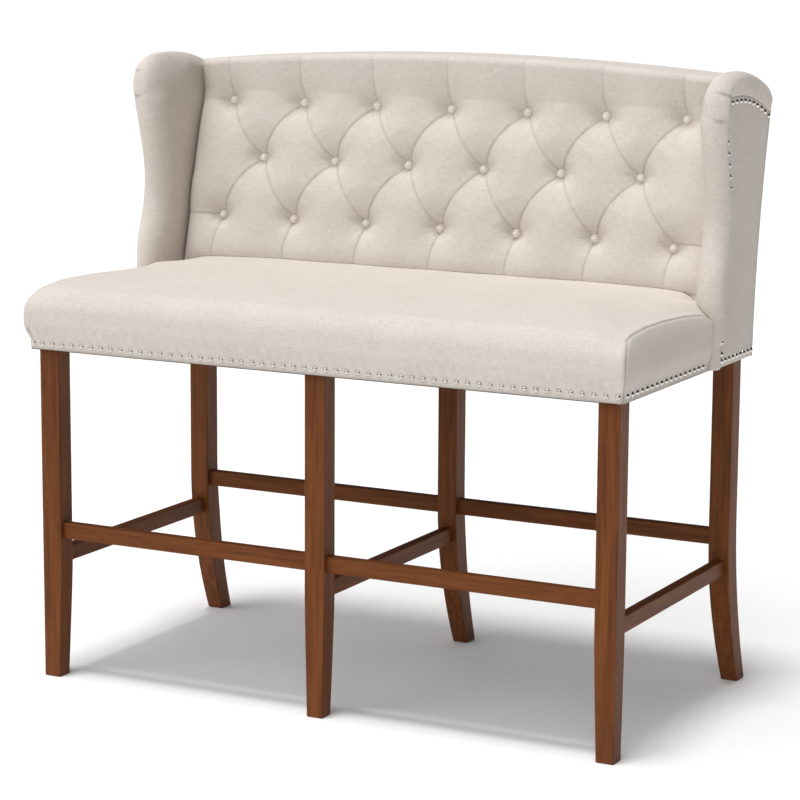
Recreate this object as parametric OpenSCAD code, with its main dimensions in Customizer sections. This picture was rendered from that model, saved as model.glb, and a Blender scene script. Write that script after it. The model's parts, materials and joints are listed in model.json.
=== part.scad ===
// Bar stool bench: two-seat upholstered bar bench with a tufted back between two wings,
// on six wooden legs joined by foot rails. Seen from the front, +X points to the right.
// +Y points to the back, +Z is up, and the floor is z = 0.

/* [Overall] */
// Depth from the seat's front swell to the back's rearmost edge
overall_depth = 664; // [640:1:700]
// Width over the seat's side swell
seat_width = 1200; // [1100:1:1300]
// Height of the seat's underside
seat_base = 625; // [580:1:660]
// Height of the seat's crown above its underside
seat_rise = 131; // [124:1:145]

/* [Legs] */
// Side of the square leg section
leg_size = 40; // [34:1:46]
// Distance from the front rail's face back to the front legs
leg_inset_front = 14; // [8:1:20]
// Distance from the side rail's face in to the outer legs
leg_inset_side = 8.5; // [4:0.5:16]
// Height where the front legs start to taper
taper_start = 215; // [150:1:215]
// Taper of an outer leg's inner face at the floor
taper_inner = 7; // [0:0.5:10]
// Taper of a middle leg's two side faces at the floor
taper_middle = 4.5; // [0:0.5:8]
// Taper of a front leg's back face at the floor
taper_back = 7; // [0:0.5:10]
// Height where the rear legs start to curve back
sabre_start = 330; // [300:1:360]
// How far a rear leg's foot stands behind its top
sabre_sweep = 62; // [30:1:75]
// Depth of a rear leg's foot
rear_foot_depth = 36; // [30:1:40]

/* [Stretchers] */
// Height of a stretcher's section
stretcher_height = 30; // [26:1:36]
// Thickness of a stretcher's section
stretcher_thickness = 20; // [16:1:24]
// Underside of the front stretchers
front_stretcher_z = 266; // [255:1:300]
// Underside of the rear stretchers
rear_stretcher_z = 271; // [255:1:300]
// Underside of the side and middle stretchers
side_stretcher_z = 215; // [200:1:218]
// Diameter of a stretcher dowel
dowel_d = 8; // [6:1:8]
// Length of a stretcher dowel
dowel_length = 34; // [24:1:36]
// Distance between the two dowels of a stretcher end
dowel_pitch = 14; // [12:1:16]

/* [Seat box] */
// Thickness of the seat rails
rail_thickness = 20; // [16:1:22]
// Height of the seat rails
rail_height = 58; // [50:1:62]
// Thickness of the plywood deck
deck_thickness = 9; // [6:1:12]
// Leg of a triangular corner block
block_leg = 70; // [62:1:80]
// Width of the middle legs' blocks
block_width = 60; // [50:1:80]
// Depth of the middle legs' blocks
block_depth = 52; // [48:1:60]
// Height of the blocks over the legs
block_height = 40; // [30:1:44]
// Diameter of the leg bolts
bolt_d = 8; // [6:1:8]
// Distance of a leg bolt from its leg's centre, towards the seat's middle
bolt_inset = 10; // [9:0.5:11]
// Depth of a leg bolt in its leg
bolt_depth = 45; // [30:1:60]
// Diameter of the washer nut on a leg bolt
nut_d = 16; // [14:1:17]
// Thickness of the washer nut
nut_height = 7; // [5:1:8]
// Thickness of the dust cover
dust_thickness = 1; // [0.8:0.1:1.5]
// Room between the dust cover and a leg
dust_clearance = 1; // [0.5:0.1:3]

/* [Seat cushion] */
// Thickness of the cover with its wadding
cover_thickness = 3; // [2:0.5:4]
// How far the front swells out over its nailed edge
front_swell = 12; // [6:1:16]
// How far the sides swell out over their nailed edges
side_swell = 7.5; // [4:0.5:10]
// Height of the flat nailed strip
nail_strip = 20; // [16:1:24]
// Height of the fullest point above the underside
swell_height = 50; // [46:1:56]
// Width of the front's rolled edge
roll_width = 40; // [30:1:46]
// Width of the sides' rolled edge
side_roll = 18; // [12:1:24]
// Height of the rolled edge
roll_height = 45; // [38:1:50]
// Rise of the crown above the rolled edge
crown = 14; // [8:1:16]
// Radius of the seat's front corners in plan
corner_radius = 14; // [10:1:24]

/* [Back] */
// Height of the back's top at the middle
back_height = 1156; // [1130:1:1180]
// How much lower the top is at its two ends
back_camber = 25; // [10:1:30]
// Rake of the tufted face from upright
back_rake = 11.1; // [9:0.1:12]
// Depth from the back's rearmost edge forward to the button plane at its top
back_depth = 87.5; // [84:0.5:96]
// Radius of the curved outside back
rear_radius = 2000; // [1800:10:2400]
// Thickness of the outside back panel
rear_panel_thickness = 5; // [3:1:6]
// Thickness of the pad under a button
pad_valley = 16; // [12:1:18]
// Height of a puff over the buttons
puff_height = 26; // [16:1:30]
// Height of the pad's rounded top edge
pad_arch = 45; // [36:1:50]
// Thickness of the board behind the pad
board_thickness = 6; // [4:1:8]
// Thickness of a plywood rib
rib_thickness = 20; // [16:1:24]
// Distance between neighbouring ribs
rib_pitch = 238.5; // [230:0.5:245]
// Height of the top rail
top_rail_height = 44; // [36:1:45]

/* [Tufting] */
// Distance between neighbouring buttons of a row
button_pitch = 159; // [150:1:162]
// Height of the lowest row of buttons above the seat's underside
button_row_rise = 206; // [197:1:215]
// How far the middle row lies over halfway between the other two rows
button_mid_lift = 3; // [-5:1:8]
// Distance from the highest row of buttons up to the back's top
button_row_drop = 103; // [96:1:110]
// Diameter of a covered button
button_d = 16; // [12:1:20]
// Height of a covered button
button_height = 7; // [5:0.5:9]
// Diameter of a button's shank
shank_d = 2.4; // [2:0.1:3]

/* [Wings] */
// Thickness of a wing above the seat
wing_thickness = 42; // [40:1:46]
// Distance from the seat's front to the wing's bottom
wing_setback = 398; // [390:1:405]
// How much further back the waist is than the bottom
waist_in = 26; // [16:1:36]
// Height of the waist above the seat's underside
waist_rise = 279; // [250:1:300]
// How much further forward the ear is than the waist
ear_out = 29; // [16:1:40]
// Distance from a wing's top down to the ear's foremost point
ear_drop = 71; // [60:1:80]
// How much lower a wing's top is than the back's
wing_drop = 10; // [0:1:20]
// Width of the padded roll along the wing's front and top
wing_roll = 36; // [30:1:40]
// How far the roll stands proud of the outside panel
roll_proud = 6; // [3:1:9]
// Swelling of the ear on each side
ear_swell = 12; // [4:1:14]
// Swelling of the roll between the seat and the ear on each side
roll_swell = 7; // [0:1:10]
// Thickness of the outside panel
wing_panel_thickness = 7; // [5:1:7]
// Thickness of the plywood board in a wing
wing_board = 15; // [12:1:16]

/* [Nails] */
// Diameter of a nail's dome
nail_d = 10.5; // [8:0.5:12]
// Height of a nail's dome
nail_height = 3.6; // [3:0.1:4]
// Distance between neighbouring nails
nail_pitch = 21.2; // [18:0.1:26]
// Distance between the nails along a wing's bottom
wing_bottom_pitch = 18.6; // [16:0.1:24]
// Height of the nails above the seat's underside
nail_row = 11.5; // [9:0.5:12]
// Distance of a wing's nails from its panel's edge
nail_edge = 8; // [7:0.5:10]

/* [Hidden] */
$fn = 32;

walnut = "#6b3a22";
raw_wood = "#c9a877";
ply = "#d8bd8c";
linen = "#e4dcd0";
foam_colour = "#f0e6b8";
steel = "#a9abae";
nickel = "#c8c8c6";
cambric = "#1e1e20";

// Gap between a soft piece and its neighbour
soft_gap = 0.3;
// Room round a dowel, a bolt or a screw in its hole
hole_room = 0.2;
// How far a cutting solid runs past the piece that it cuts
cut = 1;

// Heights that follow the seat and the back's top
button_row_low = seat_base + button_row_rise;
button_row_high = back_height - button_row_drop;
button_row_mid = (button_row_low + button_row_high) / 2 + button_mid_lift;
wing_top = back_height - wing_drop;
ear_z = wing_top - ear_drop;
waist_z = seat_base + waist_rise;

half_width = seat_width / 2;
front = -overall_depth / 2;
rail_half = half_width - side_swell - cover_thickness;
rail_front = front + front_swell + cover_thickness;
rail_top = seat_base + rail_height;
deck_top = rail_top + deck_thickness;

// Outside back: an arc that is upright just under the seat and leans back towards the top
back_end = back_height - back_camber;
arc_drop = 57;
arc_foot = seat_base - arc_drop;
arch_foot = back_end - pad_arch;
rear_foot = overall_depth / 2 - pow(arch_foot - arc_foot, 2) / (2 * rear_radius);
function rear_y(z) = rear_foot + pow(z - arc_foot, 2) / (2 * rear_radius);
frame_rear = rear_foot - rear_panel_thickness - soft_gap;

// Button plane of the back, where the pad is drawn in to its buttons
function button_y(z) = overall_depth / 2 - back_depth + tan(back_rake) * (z - back_end);
board_front = pad_valley;
board_back = pad_valley + board_thickness;
function rib_front_y(z) = button_y(z) + board_back;

leg_front_y = rail_front + leg_inset_front;
front_leg_y = leg_front_y + leg_size / 2;
rear_leg_y = frame_rear - leg_size / 2;
leg_x = rail_half - leg_inset_side - leg_size / 2;
rear_rail_y = frame_rear - rail_thickness;

// Flat bottom, smooth taper of a leg's face: 0 at the taper's start, 1 at the floor
taper_steps = 8;
taper_power = 1.15;
function taper(z) = z >= taper_start ? 0 : pow(1 - z / taper_start, taper_power);
taper_levels = [for (i = [0 : taper_steps]) taper_start * i / taper_steps];

// Side profile of a leg seen along one axis, tapered on its low side, its high side or both
module tapered_slab(low, high, length) {
    half = leg_size / 2;
    points = concat(
        [for (z = taper_levels) [-half + low * taper(z), z]],
        [[-half, seat_base], [half, seat_base]],
        [for (i = [taper_steps : -1 : 0]) [half - high * taper(taper_levels[i]), taper_levels[i]]]
    );
    rotate([90, 0, 0]) linear_extrude(length, center = true) polygon(points);
}

module dowel_holes() {
    for (z = [-dowel_pitch / 2, dowel_pitch / 2])
        translate([0, 0, z]) rotate([0, 90, 0])
            cylinder(d = dowel_d + hole_room, h = dowel_length + hole_room, center = true);
}

// Centres of the joints between stretchers and legs, each with the turn of its dowels
front_mid_z = front_stretcher_z + stretcher_height / 2;
rear_mid_z = rear_stretcher_z + stretcher_height / 2;
side_mid_z = side_stretcher_z + stretcher_height / 2;
function side_x(side) = side * leg_x;
side_front_y = front_leg_y + leg_size / 2;
side_rear_y = rear_leg_y - leg_size / 2;
joints = concat(
    [for (x = [-leg_x + leg_size / 2, -leg_size / 2, leg_size / 2, leg_x - leg_size / 2])
        [x, front_leg_y, front_mid_z, 0]],
    [for (x = [-leg_x + leg_size / 2, -leg_size / 2, leg_size / 2, leg_x - leg_size / 2])
        [x, rear_leg_y, rear_mid_z, 0]],
    [for (side = [-1, 0, 1], y = [side_front_y, side_rear_y]) [side_x(side), y, side_mid_z, 90]]
);

module joint_holes() {
    for (j = joints) translate([j[0], j[1], j[2]]) rotate([0, 0, j[3]]) dowel_holes();
}

bolt_room = bolt_d + hole_room;
function bolt_x(side) = side * (leg_x - bolt_inset);
front_bolt_y = front_leg_y + bolt_inset;
rear_bolt_y = rear_leg_y - bolt_inset;
bolt_places = [for (side = [-1, 0, 1], y = [front_bolt_y, rear_bolt_y]) [bolt_x(side), y]];

module bolt_holes() {
    for (p = bolt_places)
        translate([p[0], p[1], seat_base - bolt_depth])
            cylinder(d = bolt_room, h = bolt_depth + block_height + cut);
}

// A front leg: the outer ones taper on their inner face, the middle one on both
module front_leg(side) {
    inner = side == 0 ? taper_middle : taper_inner;
    low = side < 0 ? 0 : inner;
    high = side > 0 ? 0 : inner;
    color(walnut) difference() {
        translate([side * leg_x, front_leg_y, 0]) intersection() {
            tapered_slab(low, high, leg_size * 2);
            rotate([0, 0, 90]) tapered_slab(0, taper_back, leg_size * 2);
        }
        joint_holes();
        bolt_holes();
    }
}

// Backward sweep of a rear leg's face that starts to curve at the height start
function sweep(z, start, amount) = z >= start ? 0 : amount * pow((start - z) / start, 2);
sabre_steps = 16;
// The front face starts to curve a little lower than the back face
face_share = 0.91;
face_start = sabre_start * face_share;
face_sweep = sabre_sweep + leg_size - rear_foot_depth;
face_curve = [for (i = [0 : sabre_steps]) let (z = face_start * i / sabre_steps)
    [-leg_size / 2 + sweep(z, face_start, face_sweep), z]];

module rear_leg(side) {
    inner = side == 0 ? taper_middle : taper_inner;
    low = side < 0 ? 0 : inner;
    high = side > 0 ? 0 : inner;
    half = leg_size / 2;
    curve = concat(
        face_curve,
        [[-half, seat_base], [half, seat_base]],
        [for (i = [sabre_steps : -1 : 0]) let (z = sabre_start * i / sabre_steps)
            [half + sweep(z, sabre_start, sabre_sweep), z]]
    );
    color(walnut) difference() {
        translate([side * leg_x, rear_leg_y, 0]) intersection() {
            translate([0, sabre_sweep, 0]) tapered_slab(low, high, (leg_size + sabre_sweep) * 2);
            rotate([90, 0, 90]) linear_extrude(leg_size * 2, center = true) polygon(curve);
        }
        joint_holes();
        bolt_holes();
    }
}

module rail_between(x0, x1, y, z) {
    color(walnut) difference() {
        translate([x0, y - stretcher_thickness / 2, z])
            cube([x1 - x0, stretcher_thickness, stretcher_height]);
        joint_holes();
    }
}

module front_stretcher(side) {
    inner = leg_size / 2;
    outer = leg_x - leg_size / 2;
    rail_between(side > 0 ? inner : -outer, side > 0 ? outer : -inner, front_leg_y, front_stretcher_z);
}

module rear_stretcher(side) {
    inner = leg_size / 2;
    outer = leg_x - leg_size / 2;
    rail_between(side > 0 ? inner : -outer, side > 0 ? outer : -inner, rear_leg_y, rear_stretcher_z);
}

// The rear end of a side stretcher meets the rear leg's swept face
module side_stretcher(side) {
    reach = sweep(side_mid_z, face_start, face_sweep);
    color(walnut) difference() {
        translate([side_x(side) - stretcher_thickness / 2, side_front_y, side_stretcher_z])
            cube([stretcher_thickness, side_rear_y - side_front_y + reach * 2, stretcher_height]);
        side_rear_cut();
        joint_holes();
    }
}

// Everything behind the rear legs' front faces
module side_rear_cut() {
    far = leg_size + sabre_sweep;
    behind = concat(face_curve, [[-leg_size / 2, seat_base], [far, seat_base], [far, 0]]);
    translate([0, rear_leg_y, 0]) rotate([90, 0, 90])
        linear_extrude(seat_width, center = true) polygon(behind);
}

module stretcher_dowels() {
    color(raw_wood)
        for (j = joints) translate([j[0], j[1], j[2]]) rotate([0, 0, j[3]])
            for (z = [-dowel_pitch / 2, dowel_pitch / 2])
                translate([0, 0, z]) rotate([0, 90, 0])
                    cylinder(d = dowel_d, h = dowel_length, center = true);
}

screw_d = 4.2;
screw_head_d = 8;
screw_head = 2.5;
screw_length = 45;
screw_low = 16;
screw_high = 42;
screw_rows = [screw_low, screw_high];
rib_places = [for (n = [-1.5 : 1 : 1.5]) n * rib_pitch];

module rib_screw_set(room) {
    for (x = rib_places, z = screw_rows)
        translate([x, frame_rear, seat_base + z]) rotate([90, 0, 0]) {
            cylinder(d = screw_d + room, h = screw_length + room);
            cylinder(d = screw_head_d + room, h = screw_head + room);
        }
}

module rib_screws() {
    color(steel) rib_screw_set(0);
}

// The front rail's outer corners are cut off where the cushion's corners are round
module seat_rail_front() {
    low = rail_front + corner_radius;
    high = rail_front + rail_thickness;
    inner = rail_half - corner_radius;
    color(raw_wood) translate([0, 0, seat_base]) linear_extrude(rail_height) polygon([
        [-inner, rail_front], [inner, rail_front], [rail_half, low], [rail_half, high],
        [-rail_half, high], [-rail_half, low]
    ]);
}

module seat_rail_rear() {
    color(raw_wood) difference() {
        translate([-rail_half, rear_rail_y, seat_base])
            cube([rail_half * 2, rail_thickness, rail_height]);
        rib_screw_set(hole_room);
    }
}

module seat_rail_side(side) {
    x = side > 0 ? rail_half - rail_thickness : -rail_half;
    color(raw_wood) translate([x, rail_front + rail_thickness, seat_base])
        cube([rail_thickness, rear_rail_y - rail_front - rail_thickness, rail_height]);
}

module seat_rail_middle() {
    y0 = rail_front + rail_thickness + block_depth;
    y1 = rear_rail_y - block_depth;
    color(raw_wood) translate([-rail_thickness / 2, y0, seat_base])
        cube([rail_thickness, y1 - y0, rail_height]);
}

module corner_block(x_turn, y_turn) {
    inner_x = rail_half - rail_thickness;
    corner_y = y_turn < 0 ? rail_front + rail_thickness : rear_rail_y;
    translate([x_turn * inner_x, corner_y, seat_base]) linear_extrude(block_height)
        polygon([[0, 0], [-x_turn * block_leg, 0], [0, -y_turn * block_leg]]);
}

module corner_blocks() {
    color(raw_wood) difference() {
        union() {
            for (x_turn = [-1, 1], y_turn = [-1, 1]) corner_block(x_turn, y_turn);
            translate([-block_width / 2, rail_front + rail_thickness, seat_base])
                cube([block_width, block_depth, block_height]);
            translate([-block_width / 2, rear_rail_y - block_depth, seat_base])
                cube([block_width, block_depth, block_height]);
        }
        bolt_holes();
    }
}

// How far a bolt stands over its nut, and the room under it in its hole
bolt_tip = 3;
bolt_gap = 2;
bolt_top = seat_base + block_height + nut_height + bolt_tip;

module leg_bolts() {
    low = seat_base - bolt_depth + bolt_gap;
    color(steel) for (p = bolt_places)
        translate([p[0], p[1], low]) cylinder(d = bolt_d, h = bolt_top - low);
}

module leg_nuts() {
    color(steel) for (p = bolt_places)
        translate([p[0], p[1], seat_base + block_height]) difference() {
            cylinder(d = nut_d, h = nut_height);
            translate([0, 0, -cut]) cylinder(d = bolt_room, h = nut_height + 2 * cut);
        }
}

// The cushion ends in front of the ribs
rib_gap = 2;
seat_back_y = rib_front_y(rail_top) - rib_gap;
board_half = half_width - wing_panel_thickness - soft_gap - wing_board;

panel_in = half_width - wing_panel_thickness;
wing_front_y = front + wing_setback;

// Front edge of a wing in side view: upright beside the seat, then waist and ear joined by waves
function wave(t) = (1 - cos(180 * max(0, min(1, t)))) / 2;
wing_upright = seat_base + seat_rise - crown;
wing_waist_y = wing_front_y + waist_in;
wing_ear_y = wing_waist_y - ear_out;
function wing_front(z) = z < waist_z
    ? wing_front_y + waist_in * wave((z - wing_upright) / (waist_z - wing_upright))
    : wing_waist_y - ear_out * wave((z - waist_z) / (ear_z - waist_z));

panel_front_y = wing_front(rail_top) + wing_roll;

// Plan outline of the seat, anticlockwise from the left end of its front edge. Its sides have
// close pairs of points where the cushion steps in beside a wing
function spread(a, b, n) = [for (i = [0 : n - 1]) a + (b - a) * i / n];
function arc(centre, r, a0, a1, n) =
    [for (i = [0 : n - 1]) let (a = a0 + (a1 - a0) * i / n) centre + r * [cos(a), sin(a)]];
wing_clearance = 5;
panel_clearance = 7;
step_run = 0.7;
step_one = wing_front_y - wing_clearance;
step_two = panel_front_y - panel_clearance;
side_stations = concat(
    spread(front + corner_radius, step_one, 3),
    [step_one, step_one + step_run, step_two, step_two + step_run],
    [(step_two + seat_back_y) / 2, seat_back_y]
);
last_station = len(side_stations) - 1;

// The deck is as wide as the rails in front of the wings, and fits between their boards
module seat_deck() {
    narrow = board_half - cover_thickness - 2 * soft_gap;
    step_y = step_two - 2 * cover_thickness;
    rear = seat_back_y - cover_thickness - soft_gap;
    color(ply) translate([0, 0, rail_top]) linear_extrude(deck_thickness) polygon([
        [-rail_half, rail_front], [rail_half, rail_front], [rail_half, step_y], [narrow, step_y],
        [narrow, rear], [-narrow, rear], [-narrow, step_y], [-rail_half, step_y]
    ]);
}

seat_outline = concat(
    spread([-half_width + corner_radius, front], [half_width - corner_radius, front], 14),
    arc([half_width - corner_radius, front + corner_radius], corner_radius, -90, 0, 3),
    [for (y = side_stations) [half_width, y]],
    [for (i = [1 : 11]) [half_width - seat_width * i / 12, seat_back_y]],
    [for (i = [last_station : -1 : 0]) [-half_width, side_stations[i]]],
    [for (i = [1 : 2]) let (a = 180 + 30 * i)
        [-half_width + corner_radius + corner_radius * cos(a),
            front + corner_radius + corner_radius * sin(a)]]
);

// Section of the seat: height over the underside, inset from the fullest line, share of the swell
swell_mid = (nail_strip + swell_height) / 2;
roll_foot = seat_rise - crown - roll_height;
mid_share = 0.29;
crown_reach = (seat_back_y - front) / 2;
crown_end = 0.92;
crown_first = 0.25;
crown_second = 0.55;
function crown_at(t) = seat_rise - crown + crown * (1 - pow(1 - t, 2));
function roll_level(a) = [roll_foot + roll_height * sin(a), roll_width * (1 - cos(a)), 0];
function crown_level(t) = [crown_at(t), roll_width + t * (crown_reach - roll_width), 0];

// Inset at the sides for an inset at the front, as the sides' rolled edge is narrower
function side_inset(inset) = inset < roll_width
    ? inset * side_roll / roll_width
    : side_roll + (inset - roll_width) * (crown_reach - side_roll) / (crown_reach - roll_width);

// Height at which the cushion steps in beside a wing's board, just over the rail
function ledge_height(inset) = rail_height + soft_gap + max(0, cover_thickness - inset);
function ledge(inset) = [[ledge_height(inset), 0, 0], [ledge_height(inset) + ledge_rise, 0, 0]];
ledge_rise = 0.2;
outer_section = concat(
    [[0, 0, 1], [nail_strip, 0, 1], [swell_mid, 0, mid_share], [swell_height, 0, 0]],
    ledge(0),
    [for (a = [0 : 22.5 : 90]) roll_level(a)],
    [for (t = [crown_first, crown_second, crown_end]) crown_level(t)]
);
inner_section = concat(
    [[0, 0, 1], [nail_strip, 0, 1], [swell_height, 0, 0]],
    ledge(cover_thickness),
    [for (a = [0 : 45 : 90]) roll_level(a)],
    [for (t = [crown_second, crown_end]) crown_level(t)]
);
foam_inset = cover_thickness + soft_gap;
foam_section = concat(
    [[deck_top + soft_gap - seat_base, 0, 0]],
    [for (a = [0 : 45 : 90]) roll_level(a)],
    [for (t = [crown_second, crown_end]) crown_level(t)]
);

// Room left beside a wing: inside its outer panel, and over the rail inside its board
function side_limit(y, height, inset) =
    y <= step_one ? seat_width
    : y > step_two && height > ledge_height(inset) ? board_half - soft_gap - inset
    : panel_in - soft_gap - inset;

// One closed ring of the seat, drawn in by inset on every side
function seat_ring(level, inset) =
    let (
        depth = seat_back_y - front,
        z = seat_base + level[0] - inset * max(0, level[0] - roll_foot) / (seat_rise - roll_foot),
        ex = side_inset(level[1]) + inset + level[2] * side_swell,
        ey = level[1] + inset + level[2] * front_swell
    )
    [for (p = seat_outline)
        let (x = p[0] * (1 - ex / half_width), limit = side_limit(p[1], level[0], inset))
        [
            max(-limit, min(limit, x)),
            p[1] + ey * (seat_back_y - p[1]) / depth - inset * (p[1] - front) / depth,
            z
        ]];

// A closed solid from a stack of rings of n points, each end closed by a fan round its centre.
// Each square between two rings is split along one diagonal, or along the other if turned
module ring_solid(rings, first_centre, last_centre, turned = false) {
    n = len(rings[0]);
    last = len(rings) - 1;
    tip = (last + 1) * n;
    faces = concat(
        [for (i = [0 : n - 1]) [tip, i, (i + 1) % n]],
        [for (k = [0 : last - 1], i = [0 : n - 1])
            let (j = (i + 1) % n, a = k * n + i, b = a + n, c = k * n + n + j, d = k * n + j)
            each turned ? [[a, b, d], [b, c, d]] : [[a, b, c], [a, c, d]]],
        [for (i = [0 : n - 1]) [tip + 1, last * n + (i + 1) % n, last * n + i]]
    );
    polyhedron(concat([for (r = rings) each r], [first_centre, last_centre]), faces, convexity = 8);
}

function ring_middle(ring) = [0, (seat_back_y + ring[0][1]) / 2, ring[0][2]];

// The cover is one stack of rings: down its inside, round its lower edge and up its outside
module seat_cover() {
    inside = [for (k = [len(inner_section) - 1 : -1 : 0]) seat_ring(inner_section[k], cover_thickness)];
    outside = [for (level = outer_section) seat_ring(level, 0)];
    rings = concat(inside, outside);
    half = rail_half + soft_gap / 3;
    color(linen) difference() {
        ring_solid(rings, ring_middle(inside[0]), ring_middle(outside[len(outside) - 1]));
        // Its rear edge ends over the rails
        translate([-half, seat_back_y - cover_thickness - cut, 0])
            cube([half * 2, overall_depth, rail_top + soft_gap / 2]);
    }
}

module seat_foam() {
    rings = [for (level = foam_section) seat_ring(level, foam_inset)];
    color(foam_colour) ring_solid(rings, ring_middle(rings[0]), ring_middle(rings[len(rings) - 1]), true);
}

module dust_cover() {
    window = leg_size + 2 * dust_clearance;
    color(cambric) difference() {
        translate([-rail_half, rail_front, seat_base - dust_thickness - soft_gap])
            cube([rail_half * 2, frame_rear - rail_front, dust_thickness]);
        for (side = [-1, 0, 1], y = [front_leg_y, rear_leg_y])
            translate([side * leg_x, y, seat_base]) cube([window, window, 4 * dust_thickness], center = true);
    }
}

// Side profiles of the back's wooden pieces, drawn in Y and Z and run along X
module side_profile(points, x0, x1) {
    translate([x0, 0, 0]) rotate([90, 0, 90]) linear_extrude(x1 - x0) polygon(points);
}

// The top rail's rear edge is bevelled under the pad's rounded top
top_rail_rise = 14;
top_rail_top = arch_foot + top_rail_rise;
top_rail_low = top_rail_top - top_rail_height;
top_bevel = 11;
function behind_y(z) = rear_y(z) - rear_panel_thickness - soft_gap;
rear_steps = 8;

module back_rib(n) {
    x = rib_places[n];
    low = seat_base + soft_gap;
    step_z = rail_top + soft_gap;
    points = concat(
        [[seat_back_y + rib_gap, low], [rib_front_y(rail_top), rail_top]],
        [[rib_front_y(top_rail_low), top_rail_low]],
        [for (i = [0 : rear_steps]) let (z = top_rail_low + (step_z - top_rail_low) * i / rear_steps)
            [behind_y(z), z]],
        [[rear_rail_y, step_z], [rear_rail_y, low]]
    );
    color(ply) difference() {
        side_profile(points, x - rib_thickness / 2, x + rib_thickness / 2);
        rib_screw_set(hole_room);
    }
}

module back_top_rail() {
    points = [
        [rib_front_y(top_rail_low), top_rail_low], [rib_front_y(top_rail_top), top_rail_top],
        [behind_y(arch_foot) - top_bevel, top_rail_top], [behind_y(arch_foot), arch_foot],
        [behind_y(top_rail_low), top_rail_low]
    ];
    color(raw_wood) side_profile(points, -board_half, board_half);
}

pad_bottom = seat_base + seat_rise - crown;
board_gap = 12;
module back_board() {
    low = deck_top + board_gap;
    points = [
        [button_y(low) + board_front, low], [button_y(top_rail_top) + board_front, top_rail_top],
        [button_y(top_rail_top) + board_back, top_rail_top], [button_y(low) + board_back, low]
    ];
    color(ply) difference() {
        side_profile(points, -board_half, board_half);
        for (b = button_places) at_button(b) translate([0, 0, -pad_valley - board_thickness * 2])
            cylinder(d = shank_d + hole_room * 2, h = pad_valley + board_thickness * 2);
    }
}

// Buttons: seven in the outer rows, six between them in the middle row
half_pitch = button_pitch / 2;
button_places = concat(
    [for (i = [-3 : 3], z = [button_row_low, button_row_high]) [i * button_pitch, z]],
    [for (i = [-2.5 : 1 : 2.5]) [i * button_pitch, button_row_mid]]
);
last_column = 3 * button_pitch;

// Puts its children at a button, with +Z out of the pad
module at_button(b) {
    translate([b[0], button_y(b[1]), b[1]]) rotate([90 - back_rake, 0, 0]) children();
}

// Distance along X from an outer row's button to the fold that runs through the height z
function fold_offset(z) =
    z <= button_row_low || z >= button_row_high ? 0
    : z < button_row_mid ? half_pitch * (z - button_row_low) / (button_row_mid - button_row_low)
    : half_pitch * (button_row_high - z) / (button_row_high - button_row_mid);

// Shares of a level distance that lie square to a slanting fold, inside and at the ends
slant = 0.81;
end_slant = 0.72;

// Distance from the nearest outer row, for the level folds that run to the wings
function row_distance(z) = min(abs(z - button_row_low), abs(z - button_row_high));

function fold_distance(x, z) =
    let (ax = abs(x), between = z > button_row_low && z < button_row_high)
    ax > last_column
        ? (between ? row_distance(z) * end_slant : min(ax - last_column, row_distance(z)))
        : abs(abs(ax - button_pitch * round(ax / button_pitch)) - fold_offset(z)) * (between ? slant : 1);

function outer_button_x(x) = button_pitch * min(3, round(abs(x) / button_pitch));
function middle_button_x(x) = button_pitch * (min(2, floor(abs(x) / button_pitch)) + 0.5);
function button_distance(x, z) = min(
    norm([abs(x) - outer_button_x(x), row_distance(z)]),
    norm([abs(x) - middle_button_x(x), z - button_row_mid])
);

// Height of the pad over the button plane, and the shares of it that a fold, the pad's ends
// and its foot keep
fold_width = 58;
fold_power = 0.6;
fold_share = 0.42;
end_share = 0.25;
foot_share = 0.45;
dimple = 36;
pad_clearance = 1.5;
pad_half = half_width - wing_thickness - pad_clearance;
edge_roll = 34;
function ease(t) = t >= 1 ? 1 : t <= 0 ? 0 : sqrt(1 - pow(1 - t, 2));
function puff(x, z) =
    let (
        fold = pow(min(1, fold_distance(x, z) / fold_width), fold_power),
        tuft = 1 - exp(-pow(button_distance(x, z) / dimple, 2)),
        side = end_share + (1 - end_share) * ease((pad_half - abs(x)) / edge_roll),
        foot = foot_share + (1 - foot_share) * ease((z - pad_bottom) / edge_roll)
    )
    puff_height * (fold_share + (1 - fold_share) * fold) * tuft * side * foot;

function back_top(x) = back_height - back_camber * pow(x / pad_half, 2);

// Rows of the pad's front face, from its foot up to where the top edge starts to round
function steps(a, b, n) = [for (i = [0 : n - 1]) a + (b - a) * i / n];
function pad_foot(x) =
    let (t = (half_width - abs(x) - side_roll) / (crown_reach - side_roll))
    seat_base + crown_at(max(0, min(crown_end, t))) + soft_gap;
function pad_rows(x) = concat(
    steps(pad_foot(x), button_row_low, 3),
    steps(button_row_low, button_row_mid, 3),
    steps(button_row_mid, button_row_high, 3),
    [button_row_high, (button_row_high + arch_foot) / 2]
);
arch_turns = [180 : -45 : 0];
fold_columns = 3;
column_step = half_pitch / fold_columns;
side_column = 0.55;
side_columns = [last_column + (pad_half - last_column) * side_column, pad_half];
pad_columns = concat(
    [for (i = [1 : -1 : 0]) -side_columns[i]],
    [for (i = [-6 * fold_columns : 6 * fold_columns]) i * column_step],
    side_columns
);

// How far the folds dip the top edge, and how far the arch's middle lies behind the buttons
fold_dip = 5;
arch_depth = 34;

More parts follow.
